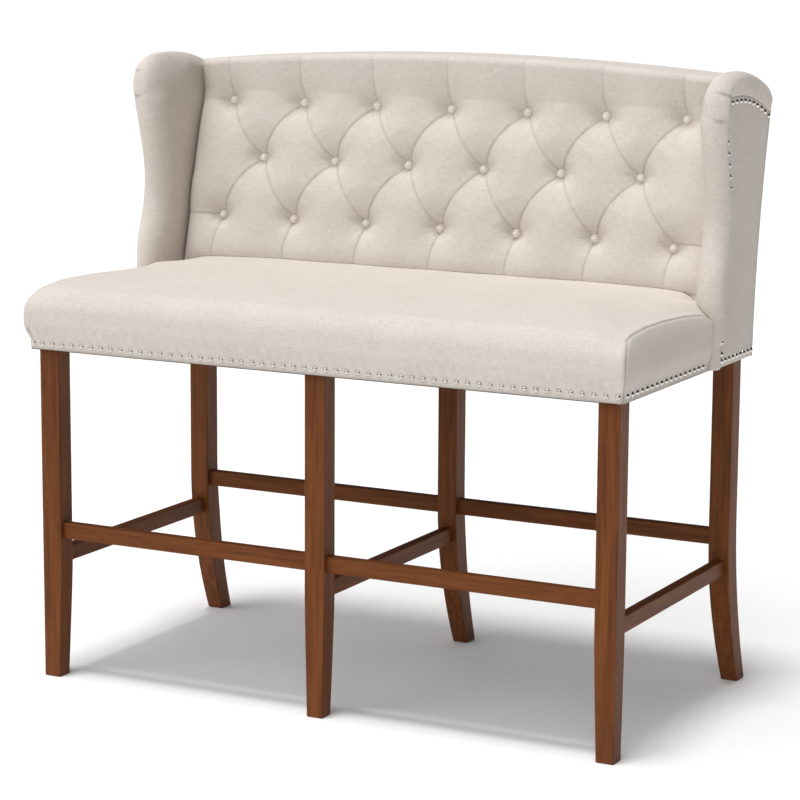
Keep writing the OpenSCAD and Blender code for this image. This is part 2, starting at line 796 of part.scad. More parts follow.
// One section of the pad at x: up the tufted face, over the top edge and back along the inside
function pad_section(x) =
    let (
        top = back_top(x) - fold_dip * (1 - puff(x, arch_foot) / puff_height),
        front_y = button_y(arch_foot) - puff(x, arch_foot),
        mid_y = button_y(arch_foot) + arch_depth,
        wrap = arch_foot + soft_gap,
        inner_top = top_rail_top + soft_gap
    )
    concat(
        [for (z = pad_rows(x)) [x, button_y(z) - puff(x, z), z]],
        [for (a = arch_turns)
            [
                x,
                mid_y + cos(a) * (a > 90 ? mid_y - front_y : rear_y(arch_foot) - mid_y),
                arch_foot + sin(a) * (top - arch_foot) + (a == 0 ? soft_gap : 0)
            ]],
        [
            [x, behind_y(arch_foot) + soft_gap, wrap],
            [x, behind_y(arch_foot) - top_bevel + soft_gap, inner_top],
            [x, button_y(inner_top) + board_front - soft_gap, inner_top],
            [x, button_y(pad_foot(x)) + board_front - soft_gap, pad_foot(x)]
        ]
    );

// Faces between two neighbouring sections, each square split along its deeper diagonal
function strip_faces(points, n, k) = [for (i = [0 : n - 1])
    let (
        j = (i + 1) % n,
        a = k * n + i,
        b = k * n + j,
        c = (k + 1) * n + j,
        d = (k + 1) * n + i
    )
    each points[a][1] + points[c][1] > points[b][1] + points[d][1]
        ? [[a, b, c], [a, c, d]]
        : [[a, b, d], [b, c, d]]];

// An end of the pad in triangles, from the two inner corners of its hook over the top rail
function end_faces(n) =
    let (foot = n - 1, corner = n - 2, back_corner = n - 3, lip = n - 4, rear = n - 5)
    concat(
        [[corner, foot, 0]],
        [for (i = [0 : rear - 2]) [corner, i, i + 1]],
        [[corner, rear - 1, back_corner], [back_corner, rear - 1, rear], [back_corner, rear, lip]]
    );

module pad_form() {
    sections = [for (x = pad_columns) pad_section(x)];
    n = len(sections[0]);
    points = [for (s = sections) each s];
    last = len(sections) - 1;
    faces = concat(
        [for (t = end_faces(n)) [t[2], t[1], t[0]]],
        [for (k = [0 : last - 1]) each strip_faces(points, n, k)],
        [for (t = end_faces(n)) t + [last * n, last * n, last * n]]
    );
    polyhedron(points, faces, convexity = 8);
}

// The holes for the shanks are square, with this share of a shank's diameter across corners
shank_hole = 1.6;
module back_pad() {
    color(linen) difference() {
        pad_form();
        for (b = button_places) at_button(b) translate([0, 0, -pad_valley * 2])
            cylinder(d = shank_d * shank_hole, h = pad_valley * 3, $fn = 4);
    }
}

// A covered button, its shank through the pad and the board, and the stop behind the board.
// The button rests on the pad's facets, button_lift over the plane of the dimples
button_lift = 3.6;
button_sides = 24;
nail_sides = 14;
module tuft_buttons() {
    stop_d = 10;
    stop_height = 1.5;
    reach = board_back * cos(back_rake) + soft_gap;
    shank_length = reach + stop_height + button_lift + cut;
    color(linen) for (b = button_places) at_button(b) {
        translate([0, 0, button_lift]) dome(button_d, button_height, button_sides);
        translate([0, 0, -reach - stop_height]) cylinder(d = shank_d, h = shank_length);
        translate([0, 0, -reach - stop_height]) cylinder(d = stop_d, h = stop_height);
    }
}

// A dome that stands on z = 0
module dome(d, h, sides) {
    r = (d * d / 4 + h * h) / (2 * h);
    intersection() {
        translate([0, 0, h - r]) sphere(r = r, $fn = sides);
        translate([0, 0, h / 2]) cube([d * 2, d * 2, h], center = true);
    }
}

module rear_panel() {
    outer = [for (i = [0 : rear_steps]) let (z = seat_base + (arch_foot - seat_base) * i / rear_steps)
        [rear_y(z), z]];
    inner = [for (i = [rear_steps : -1 : 0])
        let (z = seat_base + (arch_foot - seat_base) * i / rear_steps)
        [rear_y(z) - rear_panel_thickness, z]];
    color(linen) side_profile(concat(outer, inner), -half_width, half_width);
}

// Top edge of a wing: level behind the ear, then falling to the outside back
ear_radius_y = 82;
ear_radius_z = wing_top - ear_z;
ear_centre_y = wing_ear_y + ear_radius_y;
top_fall = 0.00134;
level_run = 10;
wing_end_gap = 10;
function wing_top_z(y) = wing_top - top_fall * pow(max(0, y - ear_centre_y - level_run), 2);
wing_end_y = overall_depth / 2 - rear_panel_thickness - wing_end_gap;

// Outline of a wing in Y and Z, drawn in by inset along the front and the top, and by a
// share of it, edge, along the rear and the bottom; extra adds points to each stretch
front_steps = 12;
ear_steps = 5;
soft_edge = 0.12;
function wing_outline(inset, low, edge = 0, extra = 0) =
    let (
        steps = front_steps + extra,
        turns = ear_steps + extra,
        small = edge * inset,
        foot = low + small,
        end_y = wing_end_y - small,
        end_z = wing_top_z(wing_end_y) - inset
    )
    concat(
        [for (i = [0 : steps]) let (z = foot + (ear_z - foot) * i / steps)
            [wing_front(z) + inset, z]],
        [for (i = [1 : turns]) let (a = 180 - 90 * i / turns)
            [
                ear_centre_y + (ear_radius_y - inset) * cos(a),
                ear_z + (ear_radius_z - inset) * sin(a)
            ]],
        [for (i = [1 : turns]) let (y = ear_centre_y + (end_y - ear_centre_y) * i / turns)
            [y, wing_top_z(y + small * i / turns) - inset]],
        [for (i = [1 : rear_steps]) let (z = end_z + (foot - end_z) * i / rear_steps)
            [min(end_y, behind_y(z)) - small, z]],
        [for (i = [1 : 3]) let (y0 = behind_y(foot) - small, y1 = wing_front(foot) + inset)
            [y0 + (y1 - y0) * i / 4, foot]]
    );

// Swelling of the roll above the seat and round the ear, which fades away in front of the pad
bell_rise = 12;
bell_z = ear_z + bell_rise;
bell_spread = 62;
fade_ahead = 30;
fade_start = ear_centre_y - fade_ahead;
fade_length = 95;
swell_foot = rail_top;
swell_length = 100;
function ear_bell(y, z) =
    let (
        share = roll_swell / ear_swell * wave((z - swell_foot) / swell_length),
        ear = exp(-pow((z - bell_z) / bell_spread, 2))
    )
    (share + (1 - share) * ear) * (1 - wave((y - fade_start) / fade_length));
wing_in = half_width - wing_thickness;
wing_out = half_width + roll_proud;
roll_turns = [0, 0.08, 0.3, 0.62, 1];
roll_reach = 20;
function wing_x(t, p, outward) =
    let (
        bell = ear_swell * ear_bell(p[0], p[1]),
        middle = (wing_in + wing_out) / 2,
        full = (wing_out - wing_in) / 2 + bell
    )
    middle + (outward ? 1 : -1) * full * ease(t);

// Rings of a wing from its outer face, round the edge, to its inner face
module wing_form(low) {
    outer_cap = wing_roll + 3;
    inner_cap = 64;
    rings = concat(
        [[for (p = wing_outline(outer_cap, low, soft_edge)) [wing_out, p[0], p[1]]]],
        [for (k = [4 : -1 : 0]) let (t = roll_turns[k])
            [for (p = wing_outline(t * roll_reach, low, soft_edge)) [wing_x(t, p, true), p[0], p[1]]]],
        [for (k = [1 : 4]) let (t = roll_turns[k])
            [for (p = wing_outline(t * roll_reach, low, soft_edge)) [wing_x(t, p, false), p[0], p[1]]]],
        [[for (p = wing_outline(inner_cap, low, soft_edge)) [wing_in, p[0], p[1]]]]
    );
    centre_y = (wing_waist_y + wing_end_y) / 2;
    ring_solid(rings, [wing_out, centre_y, waist_z], [wing_in, centre_y, waist_z]);
}

// The bay that the board and the outside panel fill
bay_extra = 12;
bay_drop = 10;
module wing_bay() {
    edge = wing_outline(wing_roll, seat_base - bay_drop, 0, bay_extra);
    far = overall_depth;
    last_top = front_steps + 2 * ear_steps + 3 * bay_extra;
    points = concat(
        [[edge[0][0], 0]],
        [for (i = [0 : last_top]) edge[i]],
        [[far, edge[last_top][1]], [far, 0]]
    );
    side_profile(points, board_half - soft_gap, half_width * 2);
}

// The bay that the back's board, ribs and top rail fill between the wings' boards
module back_bay() {
    high = top_rail_top + soft_gap;
    plane = board_front - soft_gap;
    points = [
        [button_y(0) + plane, 0], [button_y(high) + plane, high],
        [overall_depth, high], [overall_depth, 0]
    ];
    side_profile(points, -board_half, board_half);
}

// The room under a wing that the seat fills: its rolled side up to the outside panel
module seat_bay() {
    roll = [for (a = [0 : 22.5 : 90])
        let (level = roll_level(a))
        [min(panel_in, half_width - side_inset(level[1]) + soft_gap), seat_base + level[0] + soft_gap]];
    inner = crown_level(crown_first);
    inner_x = half_width - side_inset(inner[1]);
    inner_z = seat_base + inner[0] + soft_gap;
    edge = concat(
        [[0, 0], [panel_in, 0]],
        [for (p = roll) if (p[0] < panel_in || p[1] > seat_base + roll_foot + cut) p],
        [[inner_x, inner_z], [0, inner_z]]
    );
    translate([0, overall_depth, 0]) rotate([90, 0, 0]) linear_extrude(overall_depth * 2) polygon(edge);
}

module wing_pad(side) {
    color(linen) mirror([side < 0 ? 1 : 0, 0, 0]) difference() {
        wing_form(seat_base);
        wing_bay();
        seat_bay();
        back_bay();
    }
}

module wing_slab(side, low, x0, x1) {
    mirror([side < 0 ? 1 : 0, 0, 0])
        side_profile(wing_outline(wing_roll + soft_gap, low, 0, bay_extra), x0, x1);
}

// The board stands on the cushion's ledge over the side rail
module wing_frame(side) {
    low = seat_base + ledge_height(0) + ledge_rise + soft_gap;
    color(ply) wing_slab(side, low, board_half, board_half + wing_board);
}

module wing_panel(side) {
    color(linen) wing_slab(side, seat_base, panel_in, half_width);
}

module nail_x(side, y, z) {
    translate([side * half_width, y, z]) rotate([0, side * 90, 0]) dome(nail_d, nail_height, nail_sides);
}

module seat_nails_front() {
    span = 2 * (half_width - side_swell) - 2 * nail_edge;
    count = floor(span / nail_pitch);
    color(nickel) for (i = [-count / 2 : count / 2])
        translate([i * nail_pitch, front + front_swell, seat_base + nail_row])
            rotate([90, 0, 0]) dome(nail_d, nail_height, nail_sides);
}

// Distance from the seat's front edge back to the first nail of a side
first_nail = 17.5;
module seat_nails(side) {
    start = front + front_swell + first_nail;
    count = floor((wing_front_y - nail_d - start) / nail_pitch);
    color(nickel) for (i = [0 : count])
        translate([side * (half_width - side_swell), start + i * nail_pitch, seat_base + nail_row])
            rotate([0, side * 90, 0]) dome(nail_d, nail_height, nail_sides);
}

// Points every pitch along a path of straight pieces
function path_length(p, i = 0) = i >= len(p) - 1 ? 0 : norm(p[i + 1] - p[i]) + path_length(p, i + 1);
function along(p, s, i = 0) =
    let (d = norm(p[i + 1] - p[i]))
    s <= d || i == len(p) - 2 ? p[i] + (p[i + 1] - p[i]) * s / d : along(p, s - d, i + 1);

module wing_nails(side) {
    edge = wing_outline(wing_roll + nail_edge, seat_base + nail_row);
    last_top = front_steps + 2 * ear_steps;
    path = [for (i = [0 : last_top]) edge[i]];
    count = floor(path_length(path) / nail_pitch);
    first_y = path[0][0];
    bottom_count = floor((rear_y(seat_base) - nail_edge - first_y) / wing_bottom_pitch);
    color(nickel) {
        for (i = [0 : count]) let (p = along(path, i * nail_pitch)) nail_x(side, p[0], p[1]);
        for (i = [1 : bottom_count])
            nail_x(side, first_y + i * wing_bottom_pitch, seat_base + nail_row);
    }
}

front_leg(-1);  // front_leg_left
front_leg(0);  // front_leg_middle
front_leg(1);  // front_leg_right
rear_leg(-1);  // rear_leg_left
rear_leg(0);  // rear_leg_middle
rear_leg(1);  // rear_leg_right
front_stretcher(-1);  // front_stretcher_left
front_stretcher(1);  // front_stretcher_right
rear_stretcher(-1);  // rear_stretcher_left
rear_stretcher(1);  // rear_stretcher_right
side_stretcher(-1);  // side_stretcher_left
side_stretcher(0);  // side_stretcher_middle
side_stretcher(1);  // side_stretcher_right
stretcher_dowels();
seat_rail_front();
seat_rail_rear();
seat_rail_side(-1);  // seat_rail_left
seat_rail_side(1);  // seat_rail_right
seat_rail_middle();
corner_blocks();
leg_bolts();
leg_nuts();
seat_deck();
seat_foam();
seat_cover();
dust_cover();
back_rib(0);  // back_rib_outer_left
back_rib(1);  // back_rib_inner_left
back_rib(2);  // back_rib_inner_right
back_rib(3);  // back_rib_outer_right
rib_screws();
back_top_rail();
back_board();
back_pad();
tuft_buttons();
rear_panel();
wing_frame(-1);  // wing_frame_left
wing_frame(1);  // wing_frame_right
wing_pad(-1);  // wing_pad_left
wing_pad(1);  // wing_pad_right
wing_panel(-1);  // wing_panel_left
wing_panel(1);  // wing_panel_right
seat_nails_front();
seat_nails(-1);  // seat_nails_left
seat_nails(1);  // seat_nails_right
wing_nails(-1);  // wing_nails_left
wing_nails(1);  // wing_nails_right
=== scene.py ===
"""Upholstered bar bench: builds its cushions, wings, nails, wood, stage, lights and camera
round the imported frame, in metres, with +X to the right seen from the front and +Z up."""

import json
import math

import bmesh
import bpy
import numpy as np
from bpy.props import FloatProperty, FloatVectorProperty, IntProperty, PointerProperty
from mathutils import Matrix, Vector
from mathutils.geometry import delaunay_2d_cdt


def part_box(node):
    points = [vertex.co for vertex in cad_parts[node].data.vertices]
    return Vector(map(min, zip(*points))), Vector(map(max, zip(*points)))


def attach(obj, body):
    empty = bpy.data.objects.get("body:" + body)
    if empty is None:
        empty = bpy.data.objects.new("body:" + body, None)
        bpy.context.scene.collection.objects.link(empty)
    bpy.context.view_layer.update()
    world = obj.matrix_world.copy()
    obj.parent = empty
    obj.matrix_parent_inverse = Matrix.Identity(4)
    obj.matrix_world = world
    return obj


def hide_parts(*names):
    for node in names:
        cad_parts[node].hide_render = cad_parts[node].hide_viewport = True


bl_info = {
    "name": "Upholstered bar bench",
    "version": (1, 0, 0),
    "blender": (4, 5, 0),
    "location": "3D View > Sidebar > Bench",
    "description": "Builds a tufted bar bench round its packed frame",
    "category": "Object",
}

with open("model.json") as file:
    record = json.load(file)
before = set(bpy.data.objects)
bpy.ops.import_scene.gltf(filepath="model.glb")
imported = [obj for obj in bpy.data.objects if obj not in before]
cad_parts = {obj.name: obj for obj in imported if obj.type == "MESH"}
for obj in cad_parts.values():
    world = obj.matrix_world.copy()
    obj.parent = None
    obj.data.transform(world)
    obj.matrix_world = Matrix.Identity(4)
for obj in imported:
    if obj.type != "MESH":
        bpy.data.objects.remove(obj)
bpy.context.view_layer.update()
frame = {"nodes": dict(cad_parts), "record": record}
seat_low, seat_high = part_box("seat_cover")
back_low, back_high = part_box("back_pad")
rear_low, rear_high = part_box("rear_panel")
dust_low, dust_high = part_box("dust_cover")
wing_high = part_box("wing_pad_right")[1]
panel_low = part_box("wing_panel_right")[0]
rail_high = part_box("seat_rail_front")[1]
deck_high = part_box("seat_deck")[1]
leg_size = 0.040


def length(name, description, default):
    """A size in metres that a user may change."""
    return FloatProperty(name=name, description=description, default=default, unit="LENGTH", precision=4)


def colour(name, description, hex_code):
    """A colour that a user may change, given as sRGB hex."""
    return FloatVectorProperty(
        name=name, description=description, default=linear(hex_code), size=4, subtype="COLOR", min=0, max=1
    )


def linear(hex_code):
    """An sRGB hex colour as linear red, green, blue and alpha."""
    channels = [int(hex_code[i : i + 2], 16) / 255 for i in (1, 3, 5)]
    return tuple(c / 12.92 if c <= 0.04045 else ((c + 0.055) / 1.055) ** 2.4 for c in channels) + (1.0,)


class BenchSeat(bpy.types.PropertyGroup):
    """Sizes of the seat cushion."""

    crown: length("Crown", "Rise of the crown above the rolled edge", 0.014)
    roll_depth: length("Front roll depth", "Width of the front's rolled edge", 0.040)
    roll_height: length("Roll height", "Height of the rolled edge", 0.045)
    side_roll: length("Side roll depth", "Width of the sides' rolled edge", 0.018)
    front_swell: length("Front swell", "How far the front swells over its nails", 0.012)
    side_swell: length("Side swell", "How far the sides swell over their nails", 0.0075)
    strip: length("Nailed strip", "Height of the flat nailed strip", 0.015)
    corner: length("Corner radius", "Radius of the front corners in plan", 0.011)


class BenchBack(bpy.types.PropertyGroup):
    """Sizes of the tufted back."""

    pitch: length("Button pitch", "Distance between neighbouring buttons of a row", 0.159)
    row_low: length("Low row", "Height of the lowest row of buttons", 0.831)
    row_mid: length("Middle row", "Height of the middle row of buttons", 0.945)
    row_high: length("High row", "Height of the highest row of buttons", 1.053)
    puff: length("Puff", "Height of a puff over the buttons", 0.030)
    dimple: length("Dimple", "Reach of the dimple round a button", 0.022)
    pleat: length("Pleat depth", "Depth of a pleat's crease", 0.0016)
    camber: length("Camber", "How much lower the top is at its ends", 0.025)
    button: length("Button", "Diameter of a covered button", 0.0178)
    button_height: length("Button height", "How far a button's dome stands up", 0.0098)


class BenchWings(bpy.types.PropertyGroup):
    """Sizes of the two wings."""

    roll: length("Roll", "Width of the padded roll in front of the outside panel", 0.034)
    top_roll: length("Top roll", "Width of the padded roll over the outside panel", 0.043)
    rear_turn: length("Rear turn", "Length of the turn at the top's rear end", 0.022)
    rear_drop: length("Rear drop", "How far the top turns down at its rear end", 0.012)
    reach: length("Outer reach", "How far the roll's outer curve reaches in from the edge", 0.024)
    ear_reach: length("Ear reach", "How far the ear's outer curve reaches in from the edge", 0.018)
    inner_reach: length("Inner reach", "How far the roll's inner curve reaches in from the edge", 0.034)
    sunk: length("Sunk lip", "How far the roll is drawn in along the outside panel", 0.004)
    ear_swell: length("Ear swell", "Swelling of the ear on each side", 0.012)
    roll_swell: length("Roll swell", "Swelling of the roll between the seat and the ear", 0.008)
    fall: FloatProperty(name="Fall", description="How steeply the top falls to the rear", default=1.6)
    flare: length("Flare", "How far the roll leans forward just over the seat", 0.006)
    waist_in: length("Waist", "How much further back the waist is than the bottom", 0.026)
    ear_out: length("Ear", "How much further forward the ear is than the waist", 0.029)
    waist_z: length("Waist height", "Height of the waist", 0.904)
    ear_z: length("Ear height", "Height of the ear's foremost point", 1.075)


class BenchTrim(bpy.types.PropertyGroup):
    """Sizes of the nails."""

    nail: length("Nail", "Diameter of a nail's dome", 0.0105)
    nail_height: length("Nail height", "Height of a nail's dome", 0.0036)
    pitch: length("Nail pitch", "Distance between neighbouring nails", 0.0212)
    bottom_pitch: length("Bottom pitch", "Distance between the nails along a wing's bottom", 0.0186)
    row: length("Nail row", "Height of the nails above the seat's underside", 0.0115)
    edge: length("Nail edge", "Distance of a wing's nails from its panel's edge", 0.0075)
    sides: IntProperty(name="Sides", description="Sides of a nail's dome", default=14, min=8, max=32)
    corner_gap: length("Corner gap", "Distance from a panel's corner nail up to the next one", 0.0125)


class BenchWood(bpy.types.PropertyGroup):
    """Sizes of the wooden legs and rails."""

    eased: length("Eased edge", "Radius of the wood's edges", 0.0018)
    taper_start: length("Taper start", "Height where the front legs start to taper", 0.215)
    taper_inner: length("Inner taper", "Taper of an outer leg's inner face at the floor", 0.007)
    taper_middle: length("Middle taper", "Taper of a middle leg's side faces at the floor", 0.0045)
    taper_back: length("Back taper", "Taper of a front leg's back face at the floor", 0.007)
    sabre_start: length("Sabre start", "Height where the rear legs start to curve", 0.330)
    sabre_sweep: length("Sabre sweep", "How far a rear foot stands behind its leg's top", 0.062)
    foot_depth: length("Foot depth", "Depth of a rear leg's foot", 0.036)


class BenchColours(bpy.types.PropertyGroup):
    """Colours of the finishes."""

    linen_light: colour("Linen thread", "The linen's paler thread", "#ddd5cd")
    linen_dark: colour("Linen slub", "The linen's darker thread", "#c9c0b7")
    walnut_light: colour("Walnut", "The stain between the grain lines", "#814a22")
    walnut_dark: colour("Walnut grain", "The stain in the grain lines", "#562e14")
    nickel: colour("Nickel", "The nails' plating", "#d3d0cb")


GROUPS = {
    "bench_seat": BenchSeat,
    "bench_back": BenchBack,
    "bench_wings": BenchWings,
    "bench_trim": BenchTrim,
    "bench_wood": BenchWood,
    "bench_colours": BenchColours,
}


def add_node(tree, kind, inputs=None, **settings):
    """Adds a node with its settings, and sets or links its inputs."""
    node = tree.nodes.new(kind)
    for key, value in settings.items():
        setattr(node, key, value)
    for key, value in (inputs or {}).items():
        if isinstance(value, bpy.types.NodeSocket):
            tree.links.new(value, node.inputs[key])
        else:
            node.inputs[key].default_value = value
    return node


def blend(tree, factor, first, second, how="MIX"):
    """The colour between a first and a second one, each a socket or a fixed colour."""
    return add_node(
        tree, "ShaderNodeMix", {0: factor, 6: first, 7: second}, data_type="RGBA", blend_type=how
    ).outputs[2]


def new_material(name):
    """An empty node material and its output node."""
    material = bpy.data.materials.new(name)
    material.use_nodes = True
    material.node_tree.nodes.clear()
    return material, add_node(material.node_tree, "ShaderNodeOutputMaterial")


def finish_material(material, output, shader, viewport):
    """Joins the shader to the output and gives the viewport a like colour."""
    material.node_tree.links.new(shader.outputs[0], output.inputs["Surface"])
    material.diffuse_color = viewport
    return material


def woven_linen(name, source, dark, light):
    """Linen-look upholstery weave, in polyester with slubby yarn: matt, with short paler and darker
    runs of yarn along both directions of the weave, and a faint nap that lifts grazing light."""
    material, output = new_material(name)
    tree = material.node_tree
    if source == "cloth":
        place = add_node(tree, "ShaderNodeUVMap", uv_map="cloth").outputs["UV"]
    else:
        place = add_node(tree, "ShaderNodeTexCoord").outputs["Object"]

    # Yarns are 0.7 mm apart in the cloth, too fine for the render, so the runs of paler and darker
    # yarn are drawn 1.3 mm wide and 14 mm long
    yarn_width, yarn_run, yarn_depth = 0.0013, 0.014, 0.004

    def runs(across, along, seed):
        scale = (1 / across, 1 / along, 1 / yarn_depth)
        turned = {"Vector": place, "Scale": scale, "Location": (seed, seed, seed)}
        stretched = add_node(tree, "ShaderNodeMapping", turned).outputs[0]
        pattern = {"Vector": stretched, "Scale": 1.0, "Detail": 2.0, "Roughness": 0.6}
        return add_node(tree, "ShaderNodeTexNoise", pattern).outputs["Fac"]

    warp = runs(yarn_width, yarn_run, 3.1)
    weft = runs(yarn_run, yarn_width, 7.7)
    yarn = add_node(tree, "ShaderNodeMath", {0: warp, 1: weft}, operation="ADD").outputs[0]
    cloud = add_node(tree, "ShaderNodeTexNoise", {"Vector": place, "Scale": 9.0, "Detail": 3.0})
    parts = {0: cloud.outputs["Fac"], 1: 0.35, 2: yarn}
    mixed = add_node(tree, "ShaderNodeMath", parts, operation="MULTIPLY_ADD").outputs[0]
    levels = {"Value": mixed, "From Min": 0.86, "From Max": 1.50, "To Min": 0.0, "To Max": 1.0}
    share = add_node(tree, "ShaderNodeMapRange", levels).outputs[0]
    shade = blend(tree, share, dark, light)

    # Painted shade: the crease attribute darkens the cloth in creases and seams, along the seat's hem and
    # round the buttons
    crease = add_node(tree, "ShaderNodeAttribute", attribute_name="crease").outputs["Fac"]
    crease_shaded = blend(tree, crease, shade, linear("#8d7c6c"), "MULTIPLY")
    relief = add_node(tree, "ShaderNodeBump", {"Height": yarn, "Distance": 0.0004, "Strength": 0.4})
    levels = {"Value": yarn, "From Min": 0.6, "From Max": 1.4, "To Min": 0.92, "To Max": 0.8}
    rough = add_node(tree, "ShaderNodeMapRange", levels).outputs[0]
    shader = add_node(
        tree,
        "ShaderNodeBsdfPrincipled",
        {
            "Base Color": crease_shaded,
            "Roughness": rough,
            "Normal": relief.outputs[0],
            "IOR": 1.45,
            "Sheen Weight": 0.06,
            "Sheen Roughness": 0.5,
        },
    )
    return finish_material(material, output, shader, light)


def stained_wood(name, grain, dark, light, ring_width, shine):
    """Planed wood with its grain along one axis: fine dark lines over broader bands of stain."""
    material, output = new_material(name)
    tree = material.node_tree
    place = add_node(tree, "ShaderNodeTexCoord").outputs["Object"]
    along = 0.045
    scale = [1.0, 1.0, 1.0]
    scale["xyz".index(grain)] = along
    stretched = add_node(tree, "ShaderNodeMapping", {"Vector": place, "Scale": scale}).outputs[0]
    band_width = ring_width * 7
    bands = add_node(
        tree,
        "ShaderNodeTexNoise",
        {"Vector": stretched, "Scale": 1 / band_width, "Detail": 3.0, "Roughness": 0.55, "Distortion": 0.4},
    ).outputs["Fac"]
    lines = add_node(
        tree,
        "ShaderNodeTexNoise",
        {"Vector": stretched, "Scale": 1 / ring_width, "Detail": 4.0, "Roughness": 0.65, "Distortion": 0.2},
    ).outputs["Fac"]
    both = add_node(tree, "ShaderNodeMath", {0: lines, 1: 0.55, 2: bands}, operation="MULTIPLY_ADD")
    levels = {"Value": both.outputs[0], "From Min": 0.5, "From Max": 1.05, "To Min": 0.0, "To Max": 1.0}
    share = add_node(tree, "ShaderNodeMapRange", levels).outputs[0]
    stain = blend(tree, share, dark, light)
    rough = add_node(
        tree,
        "ShaderNodeMapRange",
        {"Value": lines, "From Min": 0.3, "From Max": 0.7, "To Min": shine + 0.1, "To Max": shine},
    ).outputs[0]
    bumped = {"Height": lines, "Distance": 0.0002, "Strength": 0.3}
    relief = add_node(tree, "ShaderNodeBump", bumped).outputs[0]
    shader = add_node(
        tree,
        "ShaderNodeBsdfPrincipled",
        {"Base Color": stain, "Roughness": rough, "Normal": relief, "IOR": 1.33, "Specular IOR Level": 0.3},
    )
    return finish_material(material, output, shader, light)


def plated_metal(name, tint, smooth, spread):
    """Plated steel, polished or as it left the bath: a metal with a slightly uneven shine."""
    material, output = new_material(name)
    tree = material.node_tree
    place = add_node(tree, "ShaderNodeTexCoord").outputs["Object"]
    pattern = {"Vector": place, "Scale": 420.0, "Detail": 2.0}
    spots = add_node(tree, "ShaderNodeTexNoise", pattern).outputs["Fac"]
    rough = add_node(
        tree,
        "ShaderNodeMapRange",
        {"Value": spots, "From Min": 0.35, "From Max": 0.65, "To Min": smooth, "To Max": smooth + spread},
    ).outputs[0]
    shader = add_node(
        tree, "ShaderNodeBsdfPrincipled", {"Base Color": tint, "Metallic": 1.0, "Roughness": rough}
    )
    return finish_material(material, output, shader, tint)


def speckled(name, dark, light, grain, roughness, depth):
    """A matt stuff with an even speckle: pressed cloth, cut foam or a painted floor."""
    material, output = new_material(name)
    tree = material.node_tree
    place = add_node(tree, "ShaderNodeTexCoord").outputs["Object"]
    pattern = {"Vector": place, "Scale": 1 / grain, "Detail": 3.0}
    specks = add_node(tree, "ShaderNodeTexNoise", pattern).outputs["Fac"]
    mixed = blend(tree, specks, dark, light)
    bumped = {"Height": specks, "Distance": depth, "Strength": 0.4}
    relief = add_node(tree, "ShaderNodeBump", bumped).outputs[0]
    shader = add_node(
        tree,
        "ShaderNodeBsdfPrincipled",
        {"Base Color": mixed, "Roughness": roughness, "Normal": relief},
    )
    return finish_material(material, output, shader, light)


def finish(name):
    """The finish of that name, made when it is first asked for."""
    if name in bpy.data.materials:
        return bpy.data.materials[name]
    colours = bpy.context.scene.bench_colours
    stain = (tuple(colours.walnut_dark), tuple(colours.walnut_light), 0.0011, 0.42)
    plain = (linear("#b08d60"), linear("#d9bd90"), 0.0022, 0.6)
    veneer = (linear("#b99a6c"), linear("#dcc39a"), 0.003, 0.65)
    makers = {
        "linen_cover": lambda: woven_linen(name, "cloth", colours.linen_dark, colours.linen_light),
        # The covered buttons take a paler copy of the linen, with less contrast between its threads: painted
        # light, for the light the raised buttons catch
        "linen_button": lambda: woven_linen(name, "object", colours.linen_light, linear("#efe7de")),
        "walnut_upright": lambda: stained_wood(name, "z", *stain),
        "walnut_across": lambda: stained_wood(name, "x", *stain),
        "walnut_deep": lambda: stained_wood(name, "y", *stain),
        "raw_wood": lambda: stained_wood(name, "x", *plain),
        "plywood": lambda: stained_wood(name, "x", *veneer),
        "polished_nickel": lambda: plated_metal(name, tuple(colours.nickel), 0.12, 0.1),
        "zinc_steel": lambda: plated_metal(name, linear("#a9abae"), 0.32, 0.2),
        "black_cambric": lambda: speckled(name, linear("#141416"), linear("#29292c"), 0.0015, 0.95, 0.0004),
        "open_foam": lambda: speckled(name, linear("#d6cb96"), linear("#f0e8bf"), 0.002, 0.95, 0.0006),
        "pale_floor": lambda: speckled(name, linear("#fafafa"), linear("#fdfdfd"), 0.02, 0.9, 0.0),
    }
    return makers[name]()


def cloth_map(mesh, places):
    """Gives a mesh its cloth map, in metres, from one place for each corner of each face."""
    layer = mesh.uv_layers.new(name="cloth")
    layer.data.foreach_set("uv", np.asarray(places, np.float32).reshape(-1))


def corner_points(mesh):
    """The vertex of each corner of each face."""
    corners = np.zeros(len(mesh.loops), np.int32)
    mesh.loops.foreach_get("vertex_index", corners)
    return corners


def add_piece(name, mesh, replaced):
    """An object for a finished mesh, which rides on the bench in place of the frame's nodes."""
    piece = bpy.data.objects.new(name, mesh)
    bpy.context.scene.collection.objects.link(piece)
    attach(piece, "root")
    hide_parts(*replaced)
    return piece


def make_piece(name, points, faces, material, replaced):
    """A smooth piece from points and faces, with its faces pointing outwards."""
    mesh = bpy.data.meshes.new(name)
    mesh.from_pydata([tuple(map(float, p)) for p in points], [], faces)
    shell = bmesh.new()
    shell.from_mesh(mesh)
    bmesh.ops.recalc_face_normals(shell, faces=shell.faces)
    shell.to_mesh(mesh)
    shell.free()
    mesh.polygons.foreach_set("use_smooth", [True] * len(mesh.polygons))
    mesh.materials.append(finish(material))
    return add_piece(name, mesh, replaced)


def set_crease_shade(mesh, values):
    """Stores how deep each point lies in a seam or a pleat, from 0 to 1, as the amount of painted shade its
    cloth gets.
    """
    attribute = mesh.attributes.new("crease", "FLOAT", "POINT")
    attribute.data.foreach_set("value", np.clip(values, 0, 1).astype(np.float32))


